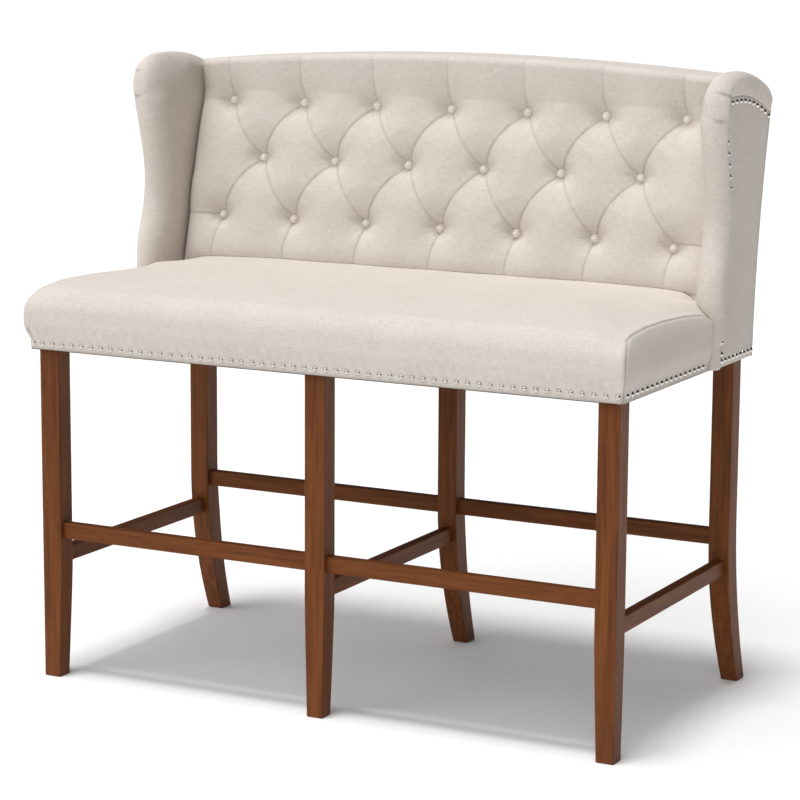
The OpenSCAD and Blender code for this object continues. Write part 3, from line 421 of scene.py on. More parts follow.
def grid_faces(rows, columns, closed_rows=False, closed_columns=False):
    """Squares of a grid whose points are numbered row by row."""
    row_steps = rows if closed_rows else rows - 1
    column_steps = columns if closed_columns else columns - 1
    return [
        (
            r * columns + c,
            r * columns + (c + 1) % columns,
            ((r + 1) % rows) * columns + (c + 1) % columns,
            ((r + 1) % rows) * columns + c,
        )
        for r in range(row_steps)
        for c in range(column_steps)
    ]


def wave(t):
    """A smooth step from 0 to 1."""
    return (1 - np.cos(np.pi * np.clip(t, 0, 1))) / 2


def rounded(t):
    """A quarter circle's rise from 0 to 1."""
    return np.sqrt(np.clip(1 - (1 - np.clip(t, 0, 1)) ** 2, 0, 1))


def bump(distance, reach):
    """A smooth hill of height 1 that has fallen to about a third at its reach."""
    return np.exp(-((distance / reach) ** 2))


def line_distance(points, line):
    """Distance of each point from a line of straight pieces, and how far along the line that is."""
    best = np.full(len(points), 1e9)
    place = np.zeros(len(points))
    run = 0.0
    for a, b in zip(line[:-1], line[1:]):
        step = b - a
        size = float(np.linalg.norm(step))
        if size < 1e-9:
            continue
        t = np.clip((points - a) @ step / size**2, 0, 1)
        gap = np.linalg.norm(points - (a + t[:, None] * step), axis=1)
        closer = gap < best
        best[closer] = gap[closer]
        place[closer] = run + t[closer] * size
        run += size
    return best, place


def spread(a, b, step):
    """Evenly spread values from a up to b, b left out, about one step apart."""
    count = max(1, int(round(abs(b - a) / step)))
    return np.linspace(a, b, count, endpoint=False)


# The seat cushion

half_width = seat_high.x
front_y = seat_low.y
seat_back = seat_high.y
seat_base = seat_low.z
rise = seat_high.z - seat_low.z
rail_half = rail_high.x
panel_inner = panel_low.x
board_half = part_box("wing_frame_right")[0].x

deck_top = deck_high.z
soft_gap = 0.0003

# The seat's side edge sinks towards the front corner and where it is squeezed beside a wing: how
# much of its height over the swell is kept, at places along the depth
swell_z = seat_base + 0.050
edge_places = (-0.332, -0.304, -0.280, -0.219, -0.138, -0.042, 0.044, 0.077, 0.125)
edge_kept = (0.80, 0.80, 0.92, 1.0, 1.0, 0.935, 0.80, 0.66, 1.0)

# How far from the middle the sinking starts, in front of the wings and beside them, and where it
# is full. In the rear corners the top rolls down further.
sink_turn = (0.0, 0.060)
sink_start = (0.525, 0.556)
sink_end = 0.592
corner_roll = 0.17
corner_x, corner_width = 0.508, 0.024
corner_y, corner_depth = 0.070, 0.060


def settled(x, y, z):
    """Height of the cushion's cloth where its side edge has sunk."""
    start = np.interp(y, sink_turn, sink_start)
    beside = wave((np.abs(x) - start) / (sink_end - start))
    kept = 1 - (1 - np.interp(y, edge_places, edge_kept)) * beside
    in_corner = wave((np.abs(x) - corner_x) / corner_width) * wave((y - corner_y) / corner_depth)
    rolled_down = corner_roll * in_corner * (1 - beside)
    return np.where(z > swell_z, swell_z + (z - swell_z) * (kept - rolled_down), z)


def seat_section(seat):
    """Section of the cushion from its inside, round its hem and up to the crown: height, inset at
    the front, inset at the sides and share of the swell."""
    base = rise - seat.crown
    foot = base - seat.roll_height
    inner = [(deck_top - seat_base + soft_gap, 0.0035, 0.0032, 1), (0.004, 0.0035, 0.0032, 1)]
    hem = [(0.0008, 0.0028, 0.0028, 1), (0.0, 0.0018, 0.0018, 1), (0.0008, 0.0004, 0.0004, 1)]
    strip = [(h, 0, 0, 1) for h in np.linspace(0.003, seat.strip, 6)]
    swell_top = 0.052
    swell = [
        (seat.strip + (swell_top - seat.strip) * t, 0, 0, 1 - math.sin(t * math.pi / 2) ** 1.15)
        for t in np.linspace(0.05, 1, 14)
    ]
    side = [(h, 0, 0, 0) for h in np.linspace(swell_top, foot, 5)[1:-1]]
    roll = [
        (
            foot + seat.roll_height * math.sin(math.radians(a)),
            seat.roll_depth * (1 - math.cos(math.radians(a))),
            seat.side_roll * (1 - math.cos(math.radians(a))) ** 1.4,
            0,
        )
        for a in list(np.linspace(0, 62, 13)) + list(np.linspace(64.5, 84, 10)) + [87, 90]
    ]
    reach = (seat_back - front_y) / 2
    crown = [
        (
            base + seat.crown * (1 - (1 - t) ** 2),
            seat.roll_depth + t * (reach - seat.roll_depth),
            seat.side_roll + t * (reach - seat.side_roll),
            0,
        )
        for t in np.linspace(0, 0.97, 22)[1:]
    ]
    return inner + hem + strip + swell + side + roll + crown


def seat_plan(seat, pitch):
    """Plan outline of the cushion, anticlockwise from the left end of its front edge, and where
    its corners and sides begin."""
    r = seat.corner
    step = pitch / 4
    edge = [(x, front_y) for x in spread(-half_width + r, half_width - r, step)]
    turns = np.radians(np.linspace(-90, 0, 13)[:-1])
    right = [(half_width - r + r * math.cos(a), front_y + r + r * math.sin(a)) for a in turns]
    side_y = np.concatenate(
        [
            spread(front_y + r, tuck_start, 0.006),
            spread(tuck_start, tuck_start + 0.006, 0.001),
            spread(tuck_start + 0.006, board_start, 0.006),
            spread(board_start, board_start + 0.004, 0.001),
            spread(board_start + 0.004, seat_back, 0.01),
            [seat_back],
        ]
    )
    far = [(x, seat_back) for x in spread(half_width, -half_width, 0.02)][1:]
    mirrored = [(-x, y) for x, y in reversed(right)]
    outline = edge + right + [(half_width, y) for y in side_y] + far
    outline += [(-half_width, y) for y in reversed(side_y)] + mirrored
    return np.array(outline), len(edge), len(right), len(side_y)


def side_room(y, height):
    """How far from the middle the cushion's side may stand, at a place and a height."""
    beside_panel = panel_inner - soft_gap
    beside_board = board_half - soft_gap
    ledge = rail_high.z - seat_base + 0.0035
    room = np.full_like(y, half_width)
    tucked = wave((y - tuck_start) / 0.0034)
    room -= tucked * (half_width - beside_panel)
    boarded = wave((y - board_start) / 0.003) * (height > ledge)
    return room - boarded * (beside_panel - beside_board)


def cloth_run(y, z, seat):
    """Length over the cushion's front and top, so that the weave runs on over the roll."""
    foot = seat_base + rise - seat.crown - seat.roll_height
    start = front_y + seat.roll_depth
    up, in_front = np.maximum(z - foot, 0), np.maximum(start - y, 1e-6)
    turn = np.arctan2(up / seat.roll_height, in_front / seat.roll_depth)
    arc = (seat.roll_depth + seat.roll_height) / 2
    return np.where(z < foot, z - foot, np.where(y > start, arc * np.pi / 2 + y - start, arc * turn))


def build_seat(seat, trim):
    """The seat cushion with its side seams, and the pull of the nails in its lower edge."""
    plan, edge_count, corner_count, side_count = seat_plan(seat, trim.pitch)
    section = seat_section(seat)
    depth = seat_back - front_y
    rings = []
    for height, inset_front, inset_side, swell in section:
        ex = inset_side + swell * seat.side_swell
        ey = inset_front + swell * seat.front_swell
        x = plan[:, 0] * (1 - ex / half_width)
        y = plan[:, 1] + ey * (seat_back - plan[:, 1]) / depth
        room = side_room(plan[:, 1], height)
        x = np.clip(x, -room, room)
        rings.append(np.stack([x, y, np.full_like(x, seat_base + height)], 1))
    grid = np.array(rings)
    levels, count = grid.shape[:2]

    # Scallops between the nails of the front and the sides
    nails = nail_columns(seat, trim)
    height = grid[:, :, 2] - seat_base
    puffed = bump(height - 0.030, 0.016) * 0.0011
    pulled = bump(height - trim.row, 0.007) * 0.0009
    near_front = bump(grid[:, :, 1] - front_y - 0.006, 0.012)
    phase = np.cos(2 * np.pi * grid[:, :, 0] / trim.pitch + (np.pi if nails % 2 == 0 else 0))
    grid[:, :, 1] += (puffed - pulled) * phase * near_front

    # Seams of the side panels: up the corner and back along the side's top edge
    seam_height = rise - seat.crown - seat.roll_height + 0.0430
    seam_level = next(i for i, level in enumerate(section) if level[0] > seam_height)
    flat = grid.reshape(-1, 3)
    rows = np.roll(grid, -1, 0) - np.roll(grid, 1, 0)
    columns = np.roll(grid, -1, 1) - np.roll(grid, 1, 1)
    rows[0], rows[-1] = grid[1] - grid[0], grid[-1] - grid[-2]
    normals = np.cross(columns, rows).reshape(-1, 3)
    normals /= np.linalg.norm(normals, axis=1)[:, None] + 1e-12
    turn_share = 0.76
    right_corner = edge_count + round(corner_count * turn_share)
    right_sides = range(right_corner, edge_count + corner_count + side_count)
    left_corner = count - 1 - round(corner_count * turn_share)
    left_sides = range(left_corner, count - corner_count - side_count - 1, -1)
    depth_of = np.zeros(len(flat))
    for corner, sides in ((right_corner, right_sides), (left_corner, left_sides)):
        up = [grid[k, corner] for k in range(5, seam_level)]
        back = [grid[seam_level, j] for j in sides if plan[j, 1] < board_start + 0.02]
        gap, _ = line_distance(flat, np.array(up + back))
        depth_of = np.maximum(depth_of, bump(gap, 0.0016))
        beside_seam = 0.0007 * bump(gap - 0.006, 0.0045)
        in_seam = 0.0016 * bump(gap, 0.0019)
        flat += normals * (beside_seam - in_seam)[:, None]
    flat[:, 2] = settled(flat[:, 0], flat[:, 1], flat[:, 2])
    # Painted shade in the side seams and along the hem under the nails
    crease = depth_of * 0.4
    shade_under_nails = bump(flat[:, 2] - seat_base, 0.004) * 0.5
    crease = np.maximum(crease, shade_under_nails)

    # Closes the inside over the deck and the crown's middle
    points = list(flat)
    faces = grid_faces(levels, count, closed_columns=True)
    hub = len(points)
    points.append(np.array([0, (front_y + seat_back) / 2, section[0][0] + seat_base]))
    faces += [(hub, (i + 1) % count, i) for i in range(count)]
    last = (levels - 1) * count
    rim = [(p[0], p[1]) for p in grid[-1]]
    top_points, triangles = fill_outline(rim, 0.02)
    crown_z = grid[-1][0][2]
    new_points = [np.array([p[0], p[1], crown_z]) for p in top_points[count:]]
    first_new = len(points)
    points += new_points
    number = [last + i for i in range(count)] + [first_new + i for i in range(len(new_points))]
    faces += [tuple(number[i] for i in t) for t in triangles]
    piece = make_piece(
        "seat_cushion", points, faces, "linen_cover", ("seat_cover", "seat_foam")
    )
    mesh = piece.data
    set_crease_shade(mesh, np.concatenate([crease, np.zeros(len(points) - len(crease))]))
    place = np.array([v.co for v in mesh.vertices])
    corners = corner_points(mesh)
    p = place[corners]
    side = np.zeros(len(mesh.loops), bool)
    for face in mesh.polygons:
        if abs(face.normal.x) > 0.75:
            side[face.loop_start : face.loop_start + face.loop_total] = True
    over = cloth_run(p[:, 1], p[:, 2], seat)
    u = np.where(side, p[:, 1], p[:, 0])
    v = np.where(side, p[:, 2], over)
    cloth_map(mesh, np.stack([u, v], 1))
    return piece


def nail_columns(seat, trim):
    """How many nails the front row has."""
    span = 2 * (half_width - seat.side_swell) - 2 * trim.edge
    return int(span // trim.pitch) + 1


def inside(points, outline):
    """Which points lie inside a closed outline."""
    x, y = points[:, 0], points[:, 1]
    odd = np.zeros(len(points), bool)
    for (x0, y0), (x1, y1) in zip(outline, np.roll(outline, -1, 0)):
        if y0 == y1:
            continue
        crosses = (y0 > y) != (y1 > y)
        odd ^= crosses & (x < (x1 - x0) * (y - y0) / (y1 - y0) + x0)
    return odd


def fill_outline(outline, step):
    """Triangles that fill a closed outline, with added points on a square grid inside it. The
    outline's own points keep their numbers."""
    outline = np.asarray(outline, float)
    low, high = outline.min(0), outline.max(0)
    xs = np.arange(low[0] + step / 2, high[0], step)
    ys = np.arange(low[1] + step / 2, high[1], step)
    lattice = np.array([(x, y) for y in ys for x in xs]).reshape(-1, 2)
    if len(lattice):
        lattice = lattice[inside(lattice, outline)]
    if len(lattice):
        ring = np.vstack([outline, outline[:1]])
        gap, _ = line_distance(lattice, ring)
        lattice = lattice[gap > step * 0.45]
    given = np.vstack([outline, lattice]) if len(lattice) else outline
    found, _, triangles, origins, _, _ = delaunay_2d_cdt(
        [Vector(p) for p in given], [], [list(range(len(outline)))], 1, 1e-7
    )
    # One outline point may be found twice or be merged with its neighbour
    home = {}
    for i, given_numbers in enumerate(origins):
        for g in given_numbers:
            home.setdefault(i, g)
    added = [i for i in range(len(found)) if i not in home]
    points = [tuple(p) for p in given] + [tuple(found[i]) for i in added]
    for n, i in enumerate(added):
        home[i] = len(given) + n
    return points, [tuple(home[i] for i in t) for t in triangles]


# The tufted back

rake = math.radians(11.1)
rear_arc = 2.0
pad_half = back_high.x - 0.0025
pad_arch = 0.045
arch_foot = back_high.z + 0.0005 - 0.025 - pad_arch
arc_foot = seat_base - 0.057
rear_start = rear_high.y - (arch_foot - arc_foot) ** 2 / (2 * rear_arc)
button_depth = 0.0875


def rear_y(z):
    """The outside back's curve."""
    return rear_start + (z - arc_foot) ** 2 / (2 * rear_arc)


def button_y(z):
    """The plane in which the buttons draw the pad in."""
    return rear_high.y - button_depth + math.tan(rake) * (z - arch_foot - pad_arch)


def button_places(back):
    """X and Z of the twenty buttons, with the number of their row."""
    outer = [(i * back.pitch, z) for z in (back.row_low, back.row_high) for i in range(-3, 4)]
    low_end = outer[6]
    outer[6] = (low_end[0] - 0.002, low_end[1] - 0.008)
    middle = [((i + 0.5) * back.pitch, back.row_mid) for i in range(-3, 3)]
    return outer + middle


def bowed(a, b, bow):
    """A line from a to b that bows to the left of its way."""
    a, b = np.array(a), np.array(b)
    across = np.array([-(b - a)[1], (b - a)[0]]) / np.linalg.norm(b - a)
    return np.array([a + (b - a) * t + across * bow * math.sin(math.pi * t) for t in np.linspace(0, 1, 17)])


def pleat_lines(back, top):
    """The pleats as lines in X and height, each with whether it ends at a button, the hand of its
    fold, how strong it is and how far it reaches from its button."""
    p = back.pitch
    left_bow, right_bow = 0.012, 0.004
    lines = []
    for i in range(-3, 3):
        middle = ((i + 0.5) * p, back.row_mid)
        lines.append((bowed((i * p, back.row_low), middle, left_bow), True, 1, 1.0, 0.10))
        lines.append((bowed(middle, ((i + 1) * p, back.row_high), left_bow), True, 1, 1.0, 0.10))
        lines.append((bowed(((i + 1) * p, back.row_low), middle, right_bow), True, -1, 0.8, 0.10))
        lines.append((bowed(middle, (i * p, back.row_high), right_bow), True, -1, 0.8, 0.10))
    foot = back_low.z - 0.02
    for x in (i * p for i in range(-3, 4)):
        lines.append((bowed((x, back.row_high), (x + 0.002, top), 0.003), False, 1, 0.7, 0.09))
        lines.append((bowed((x, back.row_low), (x - 0.009, foot), -0.005), False, -1, 0.9, 0.09))
    for side in (-1, 1):
        for z, strength in ((back.row_low, 0.9), (back.row_high, 0.35)):
            ends = (side * 3 * p, z), (side * pad_half, z)
            lines.append((bowed(*ends, side * 0.002), False, side, strength, 0.09))

    # Short puckers level with the buttons
    for n, (x, z) in enumerate(button_places(back)):
        for side, strength in ((-1, 0.9), (1, 0.35)):
            far = (x + side * 0.038, z + 0.002 * math.sin(2.1 * n))
            lines.append((bowed((x, z), far, 0.001), False, -side, strength, 0.021))
    return lines


# Height of the pad's two ends over the button plane, at places up its face
end_places = (0.750, 0.785, 0.832, 0.864, 0.895, 0.912, 0.956, 1.000, 1.030, 1.050, 1.068, 1.130)
end_heights = (0.017, 0.015, 0.0125, 0.0165, 0.0155, 0.0115, 0.0085, 0.005, 0.001, -0.0065, -0.0085, 0.002)


def tuft_height(x, z, back, top):
    """Height of the pad over the button plane, and the painted shade of each point, from how deep it lies in
    a pleat and how near it is to a button.
    """
    flat = np.stack([x, z], 1)
    nearest = np.full(len(x), 1e9)
    around = np.zeros(len(x))
    for n, (bx, bz) in enumerate(button_places(back)):
        distance = np.hypot((x - bx) / 1.08, (z - bz) * 1.05)
        closer = distance < nearest
        nearest[closer] = distance[closer]
        around[closer] = np.arctan2(z - bz, x - bx)[closer] + n
    gap = np.full(len(x), 1e9)
    strength = np.zeros(len(x))
    from_button = np.zeros(len(x))
    fading = np.ones(len(x))
    sign = np.zeros(len(x))
    puckers = np.zeros(len(x))
    for line, ends, hand, strong, reach in pleat_lines(back, top):
        low, high = line.min(0) - 0.07, line.max(0) + 0.07
        near = np.nonzero(np.all((flat > low) & (flat < high), axis=1))[0]
        if not len(near):
            continue
        distance, along = line_distance(flat[near], line)
        size = float(np.linalg.norm(np.diff(line, axis=0), axis=1).sum())
        way = line[-1] - line[0]
        offset = flat[near] - line[len(line) // 2]
        turn = np.sign(way[0] * offset[:, 1] - way[1] * offset[:, 0]) * hand
        if reach < 0.05:
            faded = bump(along, reach) * np.clip(along / 0.006, 0, 1)
            beside = np.tanh(distance / 0.003) * bump(distance, 0.010)
            puckers[near] += turn * beside * faded * strong
            continue
        ends_at = np.minimum(along, size - along) if ends else along
        closer = distance < gap[near]
        chosen = near[closer]
        gap[chosen] = distance[closer]
        from_button[chosen] = ends_at[closer]
        strength[chosen] = strong
        fading[chosen] = reach
        sign[chosen] = turn[closer]
    tuft = 1 - 0.62 * bump(nearest, back.dimple) - 0.38 * bump(nearest, 0.050)
    valley = 1 - 0.06 * bump(gap, 0.012) - 0.13 * bump(gap, 0.040)
    foot = 0.5 + 0.5 * rounded((z - back_low.z) / 0.04)
    fade = bump(from_button, fading)
    sharp = strength * fade * np.clip(from_button / 0.008, 0, 1)
    crease = bump(gap, 0.0019) * sharp
    tucked = np.tanh(gap / 0.0018) * bump(gap, 0.012) * sign * 0.0004 * sharp

    # Short gathers that fan out above each button
    fan = bump(nearest - 0.019, 0.009) * np.cos(11 * around) * 0.0004
    height = back.puff * tuft * valley * foot
    height += tucked + fan + 0.0015 * puckers - back.pleat * crease

    # The pad is drawn in towards its two ends
    inward = np.clip((pad_half - np.abs(x)) / 0.055, 0, 1)
    full = 1 - (1 - inward) ** 2
    height = np.interp(z, end_places, end_heights) * (1 - full) + np.maximum(height, -0.001) * full
    height -= 0.008 * np.exp(-(pad_half - np.abs(x)) / 0.005) * wave((1.075 - z) / 0.050)
    # Painted shade: the pleats' creases and a ring round each button are darkened
    ring = bump(nearest, 0.0105)
    return height, np.maximum(crease * 0.38, ring * 0.25)


def back_top(x, back):
    """Height of the back's top edge."""
    return back_high.z + 0.0005 - back.camber * (x / pad_half) ** 2


def build_back(back):
    """The tufted pad: up its front, over the boxed top and down to the outside back."""
    step = 0.0021
    columns = int(round(2 * pad_half / step)) + 1
    xs = np.linspace(-pad_half, pad_half, columns)
    tops = back_top(xs, back)
    upright, top_turn, rear_turn = 1.075, 0.013, 0.022
    face_top = tops - top_turn
    foot_y = 0.160
    foot_z = settled(xs, np.full_like(xs, foot_y), seat_crest + seat_crown_at(xs)) + soft_gap
    front_rows = int(round((arch_foot + 0.04 - back_low.z) / step))
    t = np.linspace(0, 1, front_rows)
    z_grid = foot_z[None, :] + t[:, None] * (face_top - foot_z)[None, :]
    x_grid = np.broadcast_to(xs, z_grid.shape)
    height, depth = tuft_height(x_grid.ravel(), z_grid.ravel(), back, back_high.z + 0.05)
    height, depth = height.reshape(z_grid.shape), depth.reshape(z_grid.shape)
    front = button_y(np.minimum(z_grid, upright)) - height
    blocks = [np.stack([x_grid, front, z_grid], 2)]
    depths = [depth]

    # The pleats run on over the boxed top and fade behind it
    edge_y, edge_depth = front[-1], depth[-1]
    rear_y0 = rear_high.y
    top = []
    for a in np.radians(np.linspace(90, 0, 8)[1:]):
        top.append((edge_y + top_turn * (1 - math.sin(a)), face_top + top_turn * math.cos(a)))
    flat_start, flat_end = edge_y + top_turn, rear_y0 - rear_turn
    for share in np.linspace(0, 1, 9)[1:]:
        top.append((flat_start + (flat_end - flat_start) * share, tops + 0 * xs))
    for a in np.radians(np.linspace(0, 90, 9)[1:]):
        top.append((flat_end + rear_turn * math.sin(a), tops - rear_turn * (1 - math.cos(a))))
    for share in (0.4, 0.8):
        top.append((rear_y0, (tops - rear_turn) * (1 - share) + arch_foot * share))
    top.append((rear_y0, arch_foot))
    for n, (y, z) in enumerate(top):
        fading = max(0.0, 1 - n / 12)
        ring = np.broadcast_arrays(xs, y, z - back.pleat * edge_depth * fading)
        blocks.append(np.stack(ring, 1)[None])
        depths.append((edge_depth * fading)[None])

    # Inside, the pad lies over the top rail and down the board's face
    rail_top = arch_foot + 0.0143
    board_gap = 0.0157
    wrap_y = rear_high.y - 0.006
    hidden = [(wrap_y, arch_foot), (wrap_y - 0.011, rail_top), (button_y(rail_top) + board_gap, rail_top)]
    for y, z in hidden:
        blocks.append(np.stack([xs, np.full_like(xs, y), np.full_like(xs, z)], 1)[None])
        depths.append(np.zeros((1, columns)))
    blocks.append(np.stack([xs, button_y(foot_z) + board_gap, foot_z], 1)[None])
    depths.append(np.zeros((1, columns)))
    grid = np.concatenate(blocks)
    rows = len(grid)
    points = grid.reshape(-1, 3)
    faces = grid_faces(rows, columns, closed_rows=True)
    for c in (0, columns - 1):
        faces.append(tuple(r * columns + c for r in range(rows)))
    piece = make_piece("tufted_back", points, faces, "linen_cover", ("back_pad",))
    mesh = piece.data
    # Painted shade in the pleats and round the buttons, fading over the top with the pleats
    set_crease_shade(mesh, np.concatenate([d.ravel() for d in depths]))
    steps = np.linalg.norm(np.diff(grid[:, :, 1:], axis=0), axis=2)
    run = np.concatenate([np.zeros((1, columns)), steps]).cumsum(0)
    smooth_run = run.mean(1, keepdims=True) * np.ones((1, columns))
    flat_map = np.stack([points[:, 0], smooth_run.ravel()], 1)
    cloth_map(mesh, flat_map[corner_points(mesh)])
    return piece


def seat_crown_at(x):
    """How far the seat's top lies above its lowest rim, at the back."""
    t = np.clip((half_width - np.abs(x) - 0.018) / ((seat_back - front_y) / 2 - 0.018), 0, 0.97)
    return 0.014 * (1 - (1 - t) ** 2)


# The wings

wing_start = front_y + 0.398
tuck_start = wing_start - 0.0042
board_start = wing_start + 0.036
wing_in = 0.558
wing_out = wing_high.x - 0.012
wing_end = rear_high.y - 0.015
wing_top = wing_high.z + 0.0015
ear_radius_y = 0.082
seat_crest = seat_base + rise - 0.014


def wing_front(z, wings):
    """Front edge of a wing: upright beside the seat, then back to the waist and out to the ear."""
    low = wing_start + wings.waist_in * wave((z - seat_crest) / (wings.waist_z - seat_crest))
    up = wave((z - wings.waist_z) / (wings.ear_z - wings.waist_z))
    high = wing_start + wings.waist_in - wings.ear_out * up
    return np.where(z < wings.waist_z, low, high)


def roll_front(z, wings):
    """Front edge of a wing's roll, which leans forward just over the seat."""
    lean = wave((z - seat_crest + 0.006) / 0.014) * (1 - wave((z - seat_crest - 0.030) / 0.090))
    return wing_front(z, wings) - wings.flare * lean


def ear_centre(wings):
    """Depth of the ear's centre."""
    return wing_start + wings.waist_in - wings.ear_out + ear_radius_y


def wing_top_z(y, wings):
    """Top edge of a wing: level behind the ear, then falling to the outside back."""
    return wing_top - wings.fall * np.maximum(0, y - ear_centre(wings) - 0.020) ** 2


def ear_bend(a):
    """How far forward and up the ear's curve stands at an angle from 180 degrees, its front, to 90,
    its top. It is fuller than a circle."""
    return max(0.0, -math.cos(a)) ** 0.68, max(0.0, math.sin(a)) ** 0.68


def wing_stations(wings, ledge, step):
    """Points along a wing's front and top edge, each with the way in from the edge."""
    ear_rise = wing_top - wings.ear_z
    deeper = wings.top_roll / wings.roll
    under_ledge = ledge - 0.0004
    low = spread(seat_base, under_ledge, step)
    heights = np.concatenate([low, [under_ledge], spread(ledge, wings.ear_z, step)])
    stations = [(float(roll_front(z, wings)), z, 1.0, 0.0) for z in heights]
    centre = ear_centre(wings)
    for a in np.radians(np.linspace(180, 90, 26)):
        forward, up = ear_bend(a)
        stations.append((centre - ear_radius_y * forward, wings.ear_z + ear_rise * up, forward, -up * deeper))
    turn_start = wing_end - wings.rear_turn
    level = np.linspace(centre, turn_start, 21)[1:]
    turning = np.linspace(turn_start, wing_end, 9)[1:]
    for y in np.concatenate([level, turning]):
        turned = wings.rear_drop * (max(0.0, y - turn_start) / wings.rear_turn) ** 2
        stations.append((y, float(wing_top_z(y, wings)) - turned, 0.0, turned / wings.roll - deeper))
    return np.array(stations), len(low) + 1


def swelling(y, z, wings, inward):
    """Swelling of the roll on its outer or its inner side, greatest round the ear. It fades in front
    of the back's pad."""
    fade = 1 - wave((y - ear_centre(wings) + 0.030) / 0.095)
    bell = np.exp(-(((z - wings.ear_z - 0.010) / 0.050) ** 4))
    start, rise_run = (seat_crest, 0.070) if inward else (seat_crest - 0.008, 0.016)
    level = wings.roll_swell * wave((z - start) / rise_run)
    if not inward:
        level = np.maximum(level, 0.003 * wave((z - 0.664) / 0.020))
    swell = (level + (wings.ear_swell - level) * bell) * fade
    return swell * (0.25 if inward else 1.0)


def seat_side_at(z, seat):
    """How far out the cushion's rolled side reaches at a height, beside a wing."""
    foot = seat_base + rise - seat.crown - seat.roll_height
    lift = np.clip((z - foot) / seat.roll_height, 0, 1)
    rolled = half_width - seat.side_roll * (1 - np.sqrt(1 - lift**2)) ** 1.4
    return np.where(z < foot, panel_inner, np.minimum(rolled, panel_inner))


